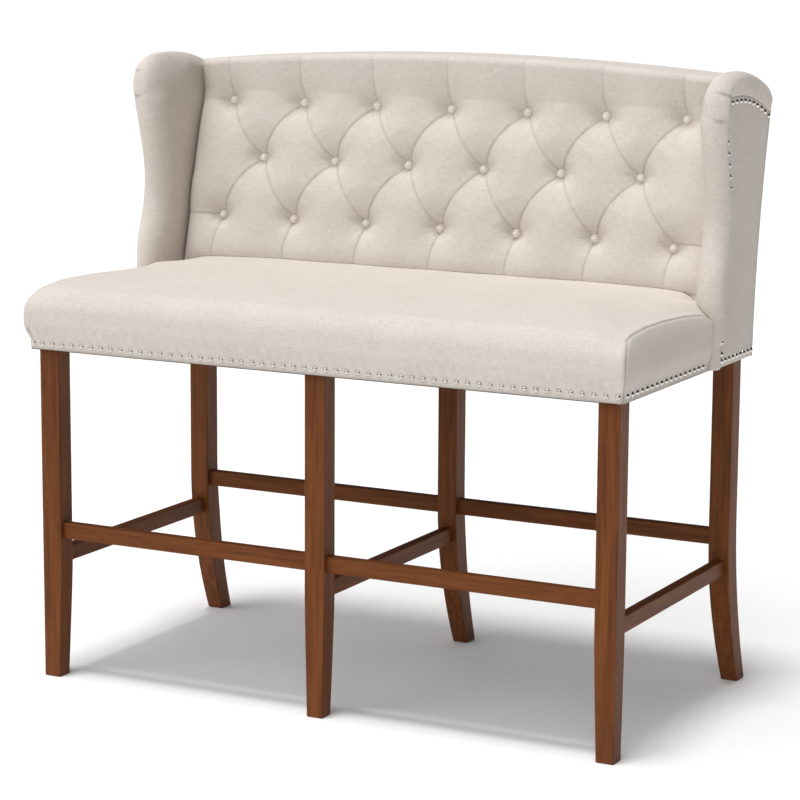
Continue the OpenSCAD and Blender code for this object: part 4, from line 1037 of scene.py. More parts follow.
def build_wing(side, wings, seat):
    """A wing: one pad wrapped round its board, with a roll along the front and the top and a band
    that reaches down in front of the outside panel."""
    ledge = seat_base + rise - seat.crown + 0.0015
    stations, first_full = wing_stations(wings, ledge, 0.0045)
    crest = wing_in + (wing_out - wing_in) * 0.60
    inner_end = 0.070

    # Insets of a section's points: from the board out past the panel, round the roll to the inner face
    under = wings.roll + 0.0002
    lip = [(under, "board"), (under, "bay"), (under, "panel"), (wings.roll, "lip")]
    lip += [(wings.roll - 0.0012, "round"), (wings.roll - 0.004, "outer")]
    turns = np.radians(np.linspace(90, 0, 13))
    outward = [("out", 1 - math.cos(a), math.sin(a)) for a in turns]
    inward = [("in", 1 - math.cos(a), math.sin(a)) for a in turns[::-1][1:]]
    flats = [(0.060, "flat"), (inner_end, "flat")]
    section = lip + outward + inward + flats

    # Between these heights the roll hangs over the nails
    hood_low, hood_high = 0.668, 0.955
    count = len(section)
    rows = []
    for i, (y, z, ny, nz) in enumerate(stations):
        ring = []
        at_ear = float(wave((z - wings.ear_z + 0.022) / 0.030))
        behind = float(wave((y - 0.085) / 0.050))
        outer_reach = wings.reach + (wings.ear_reach - wings.reach) * at_ear - 0.008 * behind * at_ear
        inner_reach = wings.inner_reach * (1 + 0.6 * at_ear) * (1 - 0.6 * float(wave((y - 0.140) / 0.060)))
        hooded = float(wave((hood_high - z) / 0.030) * wave((z - hood_low) / 0.012))
        for entry in section:
            role = entry[0] if isinstance(entry[0], str) else entry[1]
            inset = entry[0]
            if role == "out":
                inset = outer_reach * entry[1]
            elif role == "in":
                inset = inner_reach * entry[1]
            if i < first_full:
                inset = min(inset, wings.roll)
            py, pz = y + ny * inset, z + nz * inset
            inner_side = role in ("in", "flat")
            swell = float(swelling(py, pz, wings, inner_side))
            if not inner_side:
                swell *= 1 - float(wave((inset - 0.008) / 0.024)) * (1 - 0.7 * hooded)
                swell -= wings.sunk * float(wave((inset - 0.012) / 0.022)) * (1 - hooded)
            if role in ("board", "bay"):
                pz += (wings.top_roll - wings.roll) * min(1.0, -nz * wings.roll / wings.top_roll) * (nz < 0)
                x = board_half - 0.0004 if role == "board" else panel_inner - 0.0004
            elif role == "panel":
                x = wing_out - 0.009
            elif role == "lip":
                x = wing_out - 0.0022 + swell
            elif role == "round":
                x = wing_out - 0.0006 + swell
            elif role == "outer":
                x = wing_out + swell
            elif role == "flat":
                x = wing_in - swell
            elif role == "out":
                x = crest + (wing_out + swell - crest) * entry[2]
            else:
                x = crest + (wing_in - swell - crest) * entry[2]
            if i < first_full:
                x = max(x, float(seat_side_at(pz, seat)) + soft_gap)
            ring.append((x, py, pz))
        rows.append(ring)
    grid = np.array(rows)

    # Lines where the cover is folded and tucked, as depth and height from the ear's foremost point:
    # one on the ear and a short crease under it
    flat = grid.reshape(-1, 3)
    ear_y = float(roll_front(wings.ear_z, wings))
    ear = np.array([ear_y, wings.ear_z])
    tuck = ear + [(-0.004, 0.042), (0.006, 0.040), (0.018, 0.032), (0.026, 0.023)]
    crease_line = ear + [(-0.002, -0.009), (0.012, -0.011), (0.030, -0.012)]
    fold = np.zeros(len(flat))
    for line, middle, half in ((tuck, wing_out + 0.010, 0.022), (crease_line, wing_out - 0.004, 0.009)):
        gap, _ = line_distance(flat[:, 1:], line)
        beside = np.exp(-(((flat[:, 0] - middle) / half) ** 4))
        fold = np.maximum(fold, bump(gap, 0.0024) * beside)
    fold *= (np.repeat(np.arange(len(stations)), count) < len(stations) - 20) * (flat[:, 1] < ear_y + 0.034)
    flat[:, 1] += 0.0014 * fold
    flat[:, 0] -= 0.0016 * fold
    grid = flat.reshape(grid.shape)

    total = len(grid)
    points = [p for ring in grid for p in ring]
    faces = grid_faces(total, count)
    faces += [
        (i * count + count - 1, i * count, (i + 1) * count, (i + 1) * count + count - 1)
        for i in range(first_full)
    ]
    faces.append(tuple(range(count)))
    faces.append(tuple((total - 1) * count + m for m in range(count)))

    def number(i, m):
        return i * count + m

    # The inner face and the side against the board, joined along the rear and the bottom
    back_z = np.linspace(grid[-1, -1, 2], ledge, 28)[1:]
    board_z = np.linspace(grid[-1, 0, 2], ledge, 28)[1:]
    low_t = np.linspace(0, 1, 16)[1:-1]

    def rear(z):
        return min(wing_end, rear_y(z) - 0.0053)

    def border(zs, m, x_of):
        chain = [(rear(z), z) for z in zs]
        end_y = grid[first_full, m, 1]
        chain += [(rear(ledge) + (end_y - rear(ledge)) * t, ledge) for t in low_t]
        start = len(points)
        for y, z in chain:
            points.append(np.array([x_of(y, z), y, z]))
        return [start + n for n in range(len(chain))], chain

    def inner_x(y, z):
        return wing_in - float(swelling(y, z, wings, True))

    inner_border, inner_chain = border(back_z, count - 1, inner_x)
    board_border, board_chain = border(board_z, 0, lambda y, z: board_half - 0.0004)
    for m, chain_numbers, chain, x_of, step in (
        (count - 1, inner_border, inner_chain, inner_x, 0.010),
        (0, board_border, board_chain, lambda y, z: board_half - 0.0004, 0.04),
    ):
        ring_numbers = [number(i, m) for i in range(first_full, total)] + chain_numbers
        outline = [(grid[i, m, 1], grid[i, m, 2]) for i in range(first_full, total)] + chain
        filled, triangles = fill_outline(outline, step)
        start = len(points)
        for y, z in filled[len(outline) :]:
            points.append(np.array([x_of(y, z), y, z]))
        numbers = ring_numbers + [start + n for n in range(len(filled) - len(outline))]
        faces += [tuple(numbers[k] for k in t) for t in triangles]
    inner_line = [number(total - 1, count - 1)] + inner_border + [number(first_full, count - 1)]
    board_line = [number(total - 1, 0)] + board_border + [number(first_full, 0)]
    faces += [
        (a, b, d, c)
        for a, b, c, d in zip(inner_line[:-1], inner_line[1:], board_line[:-1], board_line[1:])
    ]
    points = np.array(points)

    # The wing's underside follows the cushion's sunken edge
    x, y, z = points.T
    sunk = seat_crest - settled(x, y, np.full_like(z, seat_crest))
    above = z - sunk * np.clip(1 - (z - ledge) / 0.04, 0, 1)
    points[:, 2] = np.where(z < ledge - 0.0002, settled(x, y, z), above)
    points[:, 0] *= side
    node = "wing_pad_right" if side > 0 else "wing_pad_left"
    name = "right_wing" if side > 0 else "left_wing"
    piece = make_piece(name, points, faces, "linen_cover", (node,))
    mesh = piece.data
    # Painted shade along the ear's tuck and the crease under it
    values = np.zeros(len(points))
    values[: fold.size] = fold * 0.5
    set_crease_shade(mesh, values)
    run = np.concatenate([[0], np.linalg.norm(np.diff(stations[:, :2], axis=0), axis=1)]).cumsum()
    across = np.concatenate(
        [[0], np.linalg.norm(np.diff(grid[total // 3], axis=0), axis=1)]
    ).cumsum()
    vertex_map = np.stack([points[:, 1], points[:, 2]], 1)
    u, v = np.broadcast_arrays(across[None, :] - across[-1] + inner_end, run[:, None] + seat_base)
    vertex_map[: total * count] = np.stack([u, v], 2).reshape(-1, 2)
    cloth_map(mesh, vertex_map[corner_points(mesh)])
    return piece


def panel_outline(wings, inset, foot, step):
    """Outline of a wing's outside panel in Y and Z, from the bottom of its front edge."""
    drop = inset * wings.top_roll / wings.roll
    ear_rise = wing_top - wings.ear_z - drop
    centre = ear_centre(wings)
    outline = [(float(wing_front(z, wings)) + inset, z) for z in spread(foot, wings.ear_z, step)]
    for a in np.radians(np.linspace(180, 90, 14)):
        forward, up = ear_bend(a)
        outline.append((centre - (ear_radius_y - inset) * forward, wings.ear_z + ear_rise * up))
    end = wing_end
    for y in spread(centre, end, step)[1:]:
        outline.append((y, float(wing_top_z(y, wings)) - drop))
    top = float(wing_top_z(end, wings)) - drop
    for z in np.concatenate([spread(top, foot, step), [foot]]):
        outline.append((min(end, rear_y(z) - 0.0053), z))
    rear_foot = outline[-1][0]
    front_foot = outline[0][0]
    for y in spread(rear_foot, front_foot, step)[1:]:
        outline.append((y, foot))
    return np.array(outline)


def shrink(outline, amount):
    """The outline drawn in by an amount along its own normals."""
    way = np.roll(outline, -1, 0) - np.roll(outline, 1, 0)
    normal = np.stack([-way[:, 1], way[:, 0]], 1)
    normal /= np.linalg.norm(normal, axis=1)[:, None]
    area = np.sum(outline[:, 0] * np.roll(outline[:, 1], -1) - np.roll(outline[:, 0], -1) * outline[:, 1])
    return outline + normal * (amount if area > 0 else -amount)


def panel_lift(gap, trim):
    """How far the panel's cloth stands off its plane, at a distance from its edge."""
    return 0.0004 * wave((gap - 0.012) / 0.03) - 0.0010 * bump(gap - trim.edge, 0.006)


def build_wing_panel(side, wings, trim):
    """The outside panel of a wing: cloth over a stiff packing, drawn in under its nails."""
    outline = panel_outline(wings, wings.roll + soft_gap, seat_base, 0.006)
    turned_edge = ((0.0024, 0.0), (0.0008, 0.0007), (0.0003, 0.0022))
    levels = [(panel_inner, 0.0)] + [(half_width - back, amount) for back, amount in turned_edge]
    rings = []
    for x, amount in levels:
        ring = shrink(outline, amount)
        rings.append(np.column_stack([np.full(len(ring), x), ring]))
    count = len(outline)
    points = [p for ring in rings for p in ring]
    faces = grid_faces(len(rings), count, closed_columns=True)
    faces.append(tuple(range(count)))
    border = rings[-1][:, 1:]
    filled, triangles = fill_outline(border, 0.006)
    new = np.array(filled[count:])
    gap, _ = line_distance(new, np.vstack([outline, outline[:1]]))
    start = len(points)
    for (y, z), lift in zip(new, panel_lift(gap, trim)):
        points.append(np.array([half_width + lift, y, z]))
    last = (len(rings) - 1) * count
    numbers = [last + i for i in range(count)] + [start + i for i in range(len(new))]
    faces += [tuple(numbers[k] for k in t) for t in triangles]
    points = np.array(points)
    points[:, 0] *= side
    node = "wing_panel_right" if side > 0 else "wing_panel_left"
    name = "right_outside" if side > 0 else "left_outside"
    piece = make_piece(name, points, faces, "linen_cover", (node,))
    set_crease_shade(piece.data, np.zeros(len(points)))
    cloth_map(piece.data, points[:, 1:][corner_points(piece.data)])
    return piece


def build_outside_back():
    """The outside back: cloth over a thin packing, from wing to wing, with turned edges."""
    columns = 121
    rows = 60
    half = rear_high.x
    bend = (pad_half + 0.0018) / half
    middle = (pad_half + 0.0006) / half
    xs = np.concatenate(
        [np.linspace(-1, -bend, 21), np.linspace(-middle, middle, columns - 42), np.linspace(bend, 1, 21)]
    )
    zs = np.linspace(0, 1, rows)
    falling = wave((np.abs(xs) * half - panel_inner) / (half_width - panel_inner))
    ears = (0.019 - 0.015 * falling) * (np.abs(xs) > (middle + bend) / 2)
    thickness = 0.005
    grid = []
    for skin in (0, 1):
        face = []
        for t in zs:
            tall = rear_high.z - rear_low.z + ears * t
            z = rear_low.z + t * tall
            edge = np.minimum(np.minimum((1 - np.abs(xs)) * half, min(t, 1 - t) * tall) / 0.003, 1)
            turned = (1 - rounded(edge)) * 0.0018
            lift = 0.0006 * np.sin(t * math.pi) * np.cos(xs * math.pi / 2)
            y = np.minimum(rear_y(z), rear_high.y) - (thickness if skin else turned - lift)
            face.append(np.stack([xs * half, y, z], 1))
        grid.append(face)
    grid = np.array(grid)
    outer, inner = grid[0].reshape(-1, 3), grid[1].reshape(-1, 3)
    size = rows * columns
    points = np.vstack([outer, inner])
    faces = grid_faces(rows, columns)
    faces += [tuple(size + v for v in reversed(f)) for f in grid_faces(rows, columns)]
    rim = list(range(columns))
    rim += [r * columns + columns - 1 for r in range(1, rows)]
    rim += [(rows - 1) * columns + c for c in range(columns - 2, -1, -1)]
    rim += [r * columns for r in range(rows - 2, 0, -1)]
    faces += [(a, b, size + b, size + a) for a, b in zip(rim, rim[1:] + rim[:1])]
    piece = make_piece("outside_back", points, faces, "linen_cover", ("rear_panel",))
    set_crease_shade(piece.data, np.zeros(len(points)))
    cloth_map(piece.data, points[:, [0, 2]][corner_points(piece.data)])
    return piece


def build_dust_cloth():
    """The black cloth under the seat, cut out round the legs and sagging a little between rails."""
    room = 0.001
    cuts_x, cuts_y, windows = set(), set(), []
    for row in ("front", "rear"):
        for place in ("left", "middle", "right"):
            low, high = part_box(f"{row}_leg_{place}")
            far = high.y if row == "front" else low.y + leg_size
            x0, x1 = low.x - room, high.x + room
            y0, y1 = low.y - room, far + room
            windows.append((x0, x1, y0, y1))
            cuts_x.update((x0, x1))
            cuts_y.update((y0, y1))

    def lines(low, high, cuts, step):
        stops = sorted({low, high} | {c for c in cuts if low < c < high})
        return np.concatenate([spread(a, b, step) for a, b in zip(stops[:-1], stops[1:])] + [[high]])

    xs = lines(dust_low.x, dust_high.x, cuts_x, 0.02)
    ys = lines(dust_low.y, dust_high.y, cuts_y, 0.02)
    span = (dust_high.y - dust_low.y) / 2
    middle_y = (dust_high.y + dust_low.y) / 2
    points = []
    for top in (True, False):
        for y in ys:
            for x in xs:
                bay = (x / rail_half) % 1.0 if x >= 0 else (-x / rail_half) % 1.0
                sag = 0.002 * math.sin(math.pi * bay) ** 2 * max(0, 1 - ((y - middle_y) / span) ** 2)
                points.append((x, y, (dust_high.z if top else dust_low.z) - sag))
    size = len(xs) * len(ys)
    faces = []
    kept = []
    for r in range(len(ys) - 1):
        for c in range(len(xs) - 1):
            x, y = (xs[c] + xs[c + 1]) / 2, (ys[r] + ys[r + 1]) / 2
            if any(x0 < x < x1 and y0 < y < y1 for x0, x1, y0, y1 in windows):
                continue
            a = r * len(xs) + c
            kept.append((a, a + 1, a + 1 + len(xs), a + len(xs)))
    sides = {}
    for f in kept:
        faces.append(f)
        faces.append(tuple(size + v for v in reversed(f)))
        sides.update(dict.fromkeys(zip(f, f[1:] + f[:1])))
    borders = [(a, b) for a, b in sides if (b, a) not in sides]
    faces += [(b, a, size + a, size + b) for a, b in borders]
    piece = make_piece("dust_cloth", points, faces, "black_cambric", ("dust_cover",))
    return piece


# Nails and buttons

def heads_tree(name, material, sides, rings):
    """A node tree that stands a low dome on every point, facing the way the point says."""
    tree = bpy.data.node_groups.new(name, "GeometryNodeTree")
    tree.interface.new_socket(name="Points", in_out="INPUT", socket_type="NodeSocketGeometry")
    tree.interface.new_socket(name="Diameter", in_out="INPUT", socket_type="NodeSocketFloat")
    tree.interface.new_socket(name="Height", in_out="INPUT", socket_type="NodeSocketFloat")
    tree.interface.new_socket(name="Heads", in_out="OUTPUT", socket_type="NodeSocketGeometry")
    given = add_node(tree, "NodeGroupInput")
    ball = add_node(tree, "GeometryNodeMeshUVSphere", {"Segments": sides, "Rings": rings, "Radius": 0.5})
    double = add_node(tree, "ShaderNodeMath", {0: given.outputs["Height"], 1: 2.0}, operation="MULTIPLY")
    size = add_node(
        tree,
        "ShaderNodeCombineXYZ",
        {"X": given.outputs["Diameter"], "Y": given.outputs["Diameter"], "Z": double.outputs[0]},
    )
    scaled = {"Geometry": ball.outputs["Mesh"], "Scale": size.outputs[0]}
    dome = add_node(tree, "GeometryNodeTransform", scaled)
    place = add_node(tree, "GeometryNodeInputPosition")
    parts = add_node(tree, "ShaderNodeSeparateXYZ", {"Vector": place.outputs[0]})
    above = add_node(tree, "ShaderNodeMath", {0: parts.outputs["Z"], 1: 0.0}, operation="MAXIMUM")
    flat = add_node(
        tree,
        "ShaderNodeCombineXYZ",
        {"X": parts.outputs["X"], "Y": parts.outputs["Y"], "Z": above.outputs[0]},
    )
    lifted = {"Geometry": dome.outputs[0], "Position": flat.outputs[0]}
    cap = add_node(tree, "GeometryNodeSetPosition", lifted)
    facing = add_node(tree, "GeometryNodeInputNamedAttribute", {"Name": "facing"}, data_type="FLOAT_VECTOR")
    turn = add_node(tree, "FunctionNodeAlignRotationToVector", {"Vector": facing.outputs[0]}, axis="Z")
    stood = add_node(
        tree,
        "GeometryNodeInstanceOnPoints",
        {"Points": given.outputs["Points"], "Instance": cap.outputs[0], "Rotation": turn.outputs[0]},
    )
    real = add_node(tree, "GeometryNodeRealizeInstances", {"Geometry": stood.outputs[0]})
    coat = {"Geometry": real.outputs[0], "Material": finish(material)}
    dressed = add_node(tree, "GeometryNodeSetMaterial", coat)
    smooth = add_node(tree, "GeometryNodeSetShadeSmooth", {"Geometry": dressed.outputs[0]})
    result = add_node(tree, "NodeGroupOutput")
    tree.links.new(smooth.outputs[0], result.inputs["Heads"])
    return tree


def stand_heads(name, places, facings, tree, size, material, replaced):
    """Heads of one size, diameter and height, on their places as one plain mesh."""
    seed = bpy.data.meshes.new(name + "_places")
    seed.from_pydata([tuple(map(float, p)) for p in places], [], [])
    facing = seed.attributes.new("facing", "FLOAT_VECTOR", "POINT")
    facing.data.foreach_set("vector", np.asarray(facings, np.float32).reshape(-1))
    holder = bpy.data.objects.new(name + "_places", seed)
    bpy.context.scene.collection.objects.link(holder)
    modifier = holder.modifiers.new("Heads", "NODES")
    modifier.node_group = tree
    values = {"Diameter": size[0], "Height": size[1]}
    for item in tree.interface.items_tree:
        if item.item_type == "SOCKET" and item.in_out == "INPUT" and item.name in values:
            modifier[item.identifier] = values[item.name]
    bpy.context.view_layer.update()
    evaluated = holder.evaluated_get(bpy.context.evaluated_depsgraph_get())
    mesh = bpy.data.meshes.new_from_object(evaluated)
    mesh.name = name
    holder.modifiers.remove(modifier)
    bpy.data.objects.remove(holder)
    if finish(material) not in list(mesh.materials):
        mesh.materials.append(finish(material))
    return add_piece(name, mesh, replaced)


def along_line(line, pitch, first=0.0):
    """Points every pitch along a line of straight pieces, from a distance past its start."""
    size = np.linalg.norm(np.diff(line, axis=0), axis=1)
    total = size.cumsum()
    points = []
    for n in range(int((total[-1] - first) // pitch) + 1):
        s = first + n * pitch
        k = int(np.searchsorted(total, s))
        before = total[k - 1] if k else 0
        points.append(line[k] + (line[k + 1] - line[k]) * (s - before) / size[k])
    return points


def build_nails(seat, wings, trim):
    """The rows of nails: along the seat's front and sides, and round the wings' panels."""
    tree = heads_tree("Nail heads", "polished_nickel", trim.sides, 7)
    z = seat_base + trim.row
    sunk = 0.0006
    count = nail_columns(seat, trim)
    xs = (np.arange(count) - (count - 1) / 2) * trim.pitch
    rows = {
        "front_nails": (
            [(x, front_y + seat.front_swell + sunk, z) for x in xs],
            [(0, -1, 0)] * count,
            ("seat_nails_front",),
        )
    }
    start = front_y + seat.front_swell + 0.0175
    many = int((wing_start - trim.nail - start) // trim.pitch) + 1
    heights = np.linspace(z, wings.ear_z, 80)
    inset = wings.roll + trim.edge
    path = [(float(wing_front(h, wings)) + inset, h) for h in heights]
    centre = ear_centre(wings)
    drop = inset * wings.top_roll / wings.roll
    for a in np.radians(np.linspace(180, 90, 14))[1:]:
        forward, up = ear_bend(a)
        ear_rise = wing_top - wings.ear_z - drop
        path.append((centre - (ear_radius_y - inset) * forward, wings.ear_z + ear_rise * up))
    for y in np.linspace(centre, wing_end, 12)[1:]:
        path.append((y, float(wing_top_z(y, wings)) - drop))
    edge_nails = along_line(np.array(path), trim.pitch, trim.corner_gap)
    first = path[0][0]
    bottom_many = int((rear_y(seat_base) - trim.edge - first) // trim.bottom_pitch)
    edge_nails += [np.array([first + n * trim.bottom_pitch, z]) for n in range(bottom_many + 1)]
    for side, word in ((-1, "left"), (1, "right")):
        side_x = side * (half_width - seat.side_swell - sunk)
        rows[f"{word}_seat_nails"] = (
            [(side_x, start + n * trim.pitch, z) for n in range(many)],
            [(side, 0, 0)] * many,
            (f"seat_nails_{word}",),
        )
        panel_x = side * (half_width - 0.0010)
        rows[f"{word}_wing_nails"] = (
            [(panel_x, p[0], p[1]) for p in edge_nails],
            [(side, 0, 0)] * len(edge_nails),
            (f"wing_nails_{word}",),
        )
    size = (trim.nail, trim.nail_height + sunk)
    for name, (places, facings, replaced) in rows.items():
        stand_heads(name, places, facings, tree, size, "polished_nickel", replaced)


def build_buttons(back):
    """The covered buttons, each drawn into its dimple."""
    tree = heads_tree("Button heads", "linen_button", 24, 12)
    out = np.array([0, -math.cos(rake), math.sin(rake)])
    places = []
    for x, z in button_places(back):
        places.append(np.array([x, button_y(z), z]) - out * 0.0005)
    facings = [out] * len(places)
    size = (back.button, back.button_height)
    stand_heads("covered_buttons", places, facings, tree, size, "linen_button", ("tuft_buttons",))


# The wood

def rounded_ring(x0, x1, y0, y1, radius, steps=3):
    """A rectangle with rounded corners, anticlockwise."""
    ring = []
    for cx, cy, start in ((x1, y0, -90), (x1, y1, 0), (x0, y1, 90), (x0, y0, 180)):
        sx = -1 if cx == x1 else 1
        sy = -1 if cy == y1 else 1
        for a in np.radians(np.linspace(start, start + 90, steps + 1)):
            ring.append((cx + sx * radius + radius * math.cos(a), cy + sy * radius + radius * math.sin(a)))
    return ring


def build_bar(name, sections, axis, material, node):
    """A wooden bar from rounded sections along an axis, each with its place, box and edge radius.
    The two ends are eased like the edges."""
    rings = []
    for place, box, radius in sections:
        ring = rounded_ring(*box, radius)
        if axis == "z":
            rings.append([(a, b, place) for a, b in ring])
        elif axis == "x":
            rings.append([(place, a, b) for a, b in ring])
        else:
            rings.append([(b_place, place, c) for b_place, c in ring])
    count = len(rings[0])
    points = [p for ring in rings for p in ring]
    faces = grid_faces(len(rings), count, closed_columns=True)
    faces.append(tuple(range(count)))
    faces.append(tuple((len(rings) - 1) * count + i for i in range(count)))
    piece = make_piece(name, points, faces, material, (node,))
    weighted = piece.modifiers.new("Even shading", "WEIGHTED_NORMAL")
    weighted.keep_sharp = True
    return piece


def eased(low, high, eased_by, box_at, inner):
    """Sections from low to high: the inner places between them, and both ends drawn in."""
    sections = []
    for place, share in ((low, 1.0), (low + eased_by * 0.3, 0.45), (low + eased_by, 0.0)):
        sections.append((place, share))
    sections += [(p, 0.0) for p in inner if low + eased_by * 1.5 < p < high - eased_by * 1.5]
    for place, share in ((high - eased_by, 0.0), (high - eased_by * 0.3, 0.45), (high, 1.0)):
        sections.append((place, share))
    result = []
    for place, share in sections:
        x0, x1, y0, y1 = box_at(place)
        d = eased_by * share
        result.append((place, (x0 + d, x1 - d, y0 + d, y1 - d), eased_by))
    return result


def sweep(z, start, amount):
    """Backward sweep of a rear leg's face that starts to curve at a height."""
    return 0.0 if z >= start else amount * ((start - z) / start) ** 2


def build_legs(wood):
    """The six legs: tapered front legs and sabre rear legs, with eased edges."""
    for row in ("front", "rear"):
        for place, side in (("left", -1), ("middle", 0), ("right", 1)):
            node = f"{row}_leg_{place}"
            low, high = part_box(node)
            x0, x1 = low.x, high.x
            y0 = low.y
            inner = wood.taper_middle if side == 0 else wood.taper_inner

            def box_at(z, row=row, side=side, x0=x0, x1=x1, y0=y0, inner=inner):
                share = 0.0 if z >= wood.taper_start else (1 - z / wood.taper_start) ** 1.15
                a = x0 + (inner * share if side >= 0 else 0)
                b = x1 - (inner * share if side <= 0 else 0)
                if row == "front":
                    return a, b, y0, y0 + leg_size - wood.taper_back * share
                extra = wood.sabre_sweep + leg_size - wood.foot_depth
                front = y0 + sweep(z, wood.sabre_start * 0.91, extra)
                return a, b, front, y0 + leg_size + sweep(z, wood.sabre_start, wood.sabre_sweep)

            inner_places = list(np.linspace(0.004, 0.34, 34)) + list(np.linspace(0.38, 0.6, 6))
            sections = eased(0.0, seat_base, wood.eased, box_at, inner_places)
            build_bar(f"{row}_{place}_leg", sections, "z", "walnut_upright", node)


def build_rails(wood):
    """The seven stretchers between the legs, with eased edges."""
    for row in ("front", "rear"):
        for place in ("left", "right"):
            node = f"{row}_stretcher_{place}"
            low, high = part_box(node)

            def box_at(x, low=low, high=high):
                return low.y, high.y, low.z, high.z

            inner = list(np.linspace(low.x, high.x, 9))
            sections = eased(low.x - 0.002, high.x + 0.002, wood.eased, box_at, inner)
            build_bar(f"{row}_{place}_rail", sections, "x", "walnut_across", node)
    for place in ("left", "middle", "right"):
        node = f"side_stretcher_{place}"
        low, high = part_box(node)

        def box_at(y, low=low, high=high):
            return low.x, high.x, low.z, high.z

        inner = list(np.linspace(low.y, high.y, 9))
        sections = eased(low.y - 0.002, high.y + 0.001, wood.eased, box_at, inner)
        build_bar(f"{place}_side_rail", sections, "y", "walnut_deep", node)


HIDDEN_FINISHES = {
    "raw_wood": "raw_wood",
    "plywood": "plywood",
    "steel": "zinc_steel",
    "foam": "open_foam",
    "walnut": "walnut_upright",
    "linen": "linen_button",
    "nickel": "polished_nickel",
    "cambric": "black_cambric",
}


def dress_frame():
    """Finishes for the frame's own nodes, by the material slot of each."""
    for part in frame["record"]["subparts"]:
        node = frame["nodes"][part["node"]]
        node.data.materials.clear()
        node.data.materials.append(finish(HIDDEN_FINISHES[part["material_slot"]]))


# The stage

CAMERA_LENS = 124.953
CAMERA_PLACE = (2.34765, -4.48207, 1.43984)
CAMERA_TURN, CAMERA_TILT, CAMERA_ROLL = (math.radians(a) for a in (27.529, 10.187, 0.36))


def build_camera():
    """The camera at the photograph's viewpoint."""
    a, e, r = CAMERA_TURN, CAMERA_TILT, CAMERA_ROLL
    right = Vector((math.cos(a), math.sin(a), 0))
    behind = Vector((math.sin(a) * math.cos(e), -math.cos(a) * math.cos(e), math.sin(e)))
    up = behind.cross(right)
    turned_right = right * math.cos(r) + up * math.sin(r)
    turned_up = up * math.cos(r) - right * math.sin(r)
    camera_data = bpy.data.cameras.new("Camera")
    camera_data.sensor_width = 36.0
    camera_data.lens = CAMERA_LENS
    camera = bpy.data.objects.new("Camera", camera_data)
    bpy.context.scene.collection.objects.link(camera)
    turn = Matrix((turned_right, turned_up, behind)).transposed().to_4x4()
    camera.matrix_world = Matrix.Translation(CAMERA_PLACE) @ turn
    bpy.context.scene.camera = camera


def add_sun(name, azimuth, elevation, strength, angle):
    """A far lamp that shines from an azimuth and elevation, in degrees, with a soft edge."""
    light = bpy.data.lights.new(name, "SUN")
    light.energy = strength
    light.angle = math.radians(angle)
    lamp = bpy.data.objects.new(name, light)
    bpy.context.scene.collection.objects.link(lamp)
    a, e = math.radians(azimuth), math.radians(elevation)
    source = Vector((math.sin(a) * math.cos(e), -math.cos(a) * math.cos(e), math.sin(e)))
    lamp.rotation_euler = source.to_track_quat("Z", "Y").to_euler()


def build_stage():
    """The pale floor, the white surroundings and the soft lights."""
    mesh = bpy.data.meshes.new("floor")
    half = 40.0
    corners = [(-half, -half, 0), (half, -half, 0), (half, half, 0), (-half, half, 0)]
    mesh.from_pydata(corners, [], [(0, 1, 2, 3)])
    mesh.materials.append(finish("pale_floor"))
    floor = bpy.data.objects.new("floor", mesh)
    bpy.context.scene.collection.objects.link(floor)
    add_sun("Overhead light", -10, 83, 1.75, 12)
    add_sun("Front light", -4, 44, 1.2, 60)
    add_sun("Left light", -60, 35, 0.5, 60)
    world = bpy.data.worlds.new("Studio")
    bpy.context.scene.world = world
    world.use_nodes = True
    tree = world.node_tree
    tree.nodes.clear()

    # A studio that is bright at the left and the back, dark at the right, and dark in reflections
    ray = add_node(tree, "ShaderNodeLightPath")
    way = add_node(tree, "ShaderNodeTexCoord")
    right_front = (0.8, -0.6, 0.0)
    away = add_node(
        tree, "ShaderNodeVectorMath", {0: way.outputs["Generated"], 1: right_front}, operation="DOT_PRODUCT"
    )
    glow = add_node(
        tree,
        "ShaderNodeMapRange",
        {"Value": away.outputs["Value"], "From Min": -0.8, "From Max": 0.8, "To Min": 0.7, "To Max": 0.0},
    )
    dome = add_node(tree, "ShaderNodeBackground", {"Strength": glow.outputs[0]})
    dim = add_node(tree, "ShaderNodeMath", {0: glow.outputs[0], 1: 0.12}, operation="MULTIPLY")
    mirrored = add_node(tree, "ShaderNodeBackground", {"Strength": dim.outputs[0]})
    backdrop = add_node(tree, "ShaderNodeBackground", {"Strength": 1.0})
    rays = {0: ray.outputs["Is Glossy Ray"], 1: dome.outputs[0], 2: mirrored.outputs[0]}
    seen = add_node(tree, "ShaderNodeMixShader", rays)
    rays = {0: ray.outputs["Is Camera Ray"], 1: seen.outputs[0], 2: backdrop.outputs[0]}
    both = add_node(tree, "ShaderNodeMixShader", rays)
    output = add_node(tree, "ShaderNodeOutputWorld", {"Surface": both.outputs[0]})
    output.is_active_output = True
    view = bpy.context.scene.view_settings
    view.view_transform = "Standard"
    view.look = "None"
    view.exposure = 0.0


class BENCH_OT_seat(bpy.types.Operator):
    """Build the seat cushion"""

    bl_idname = "bench.seat"
    bl_label = "Seat cushion"

    def execute(self, context):
        build_seat(context.scene.bench_seat, context.scene.bench_trim)
        return {"FINISHED"}


class BENCH_OT_back(bpy.types.Operator):
    """Build the tufted back and the outside back"""

    bl_idname = "bench.back"
    bl_label = "Tufted back"

    def execute(self, context):
        build_back(context.scene.bench_back)
        build_outside_back()
        return {"FINISHED"}


class BENCH_OT_buttons(bpy.types.Operator):
    """Build the covered buttons"""

    bl_idname = "bench.buttons"
    bl_label = "Covered buttons"

    def execute(self, context):
        build_buttons(context.scene.bench_back)
        return {"FINISHED"}


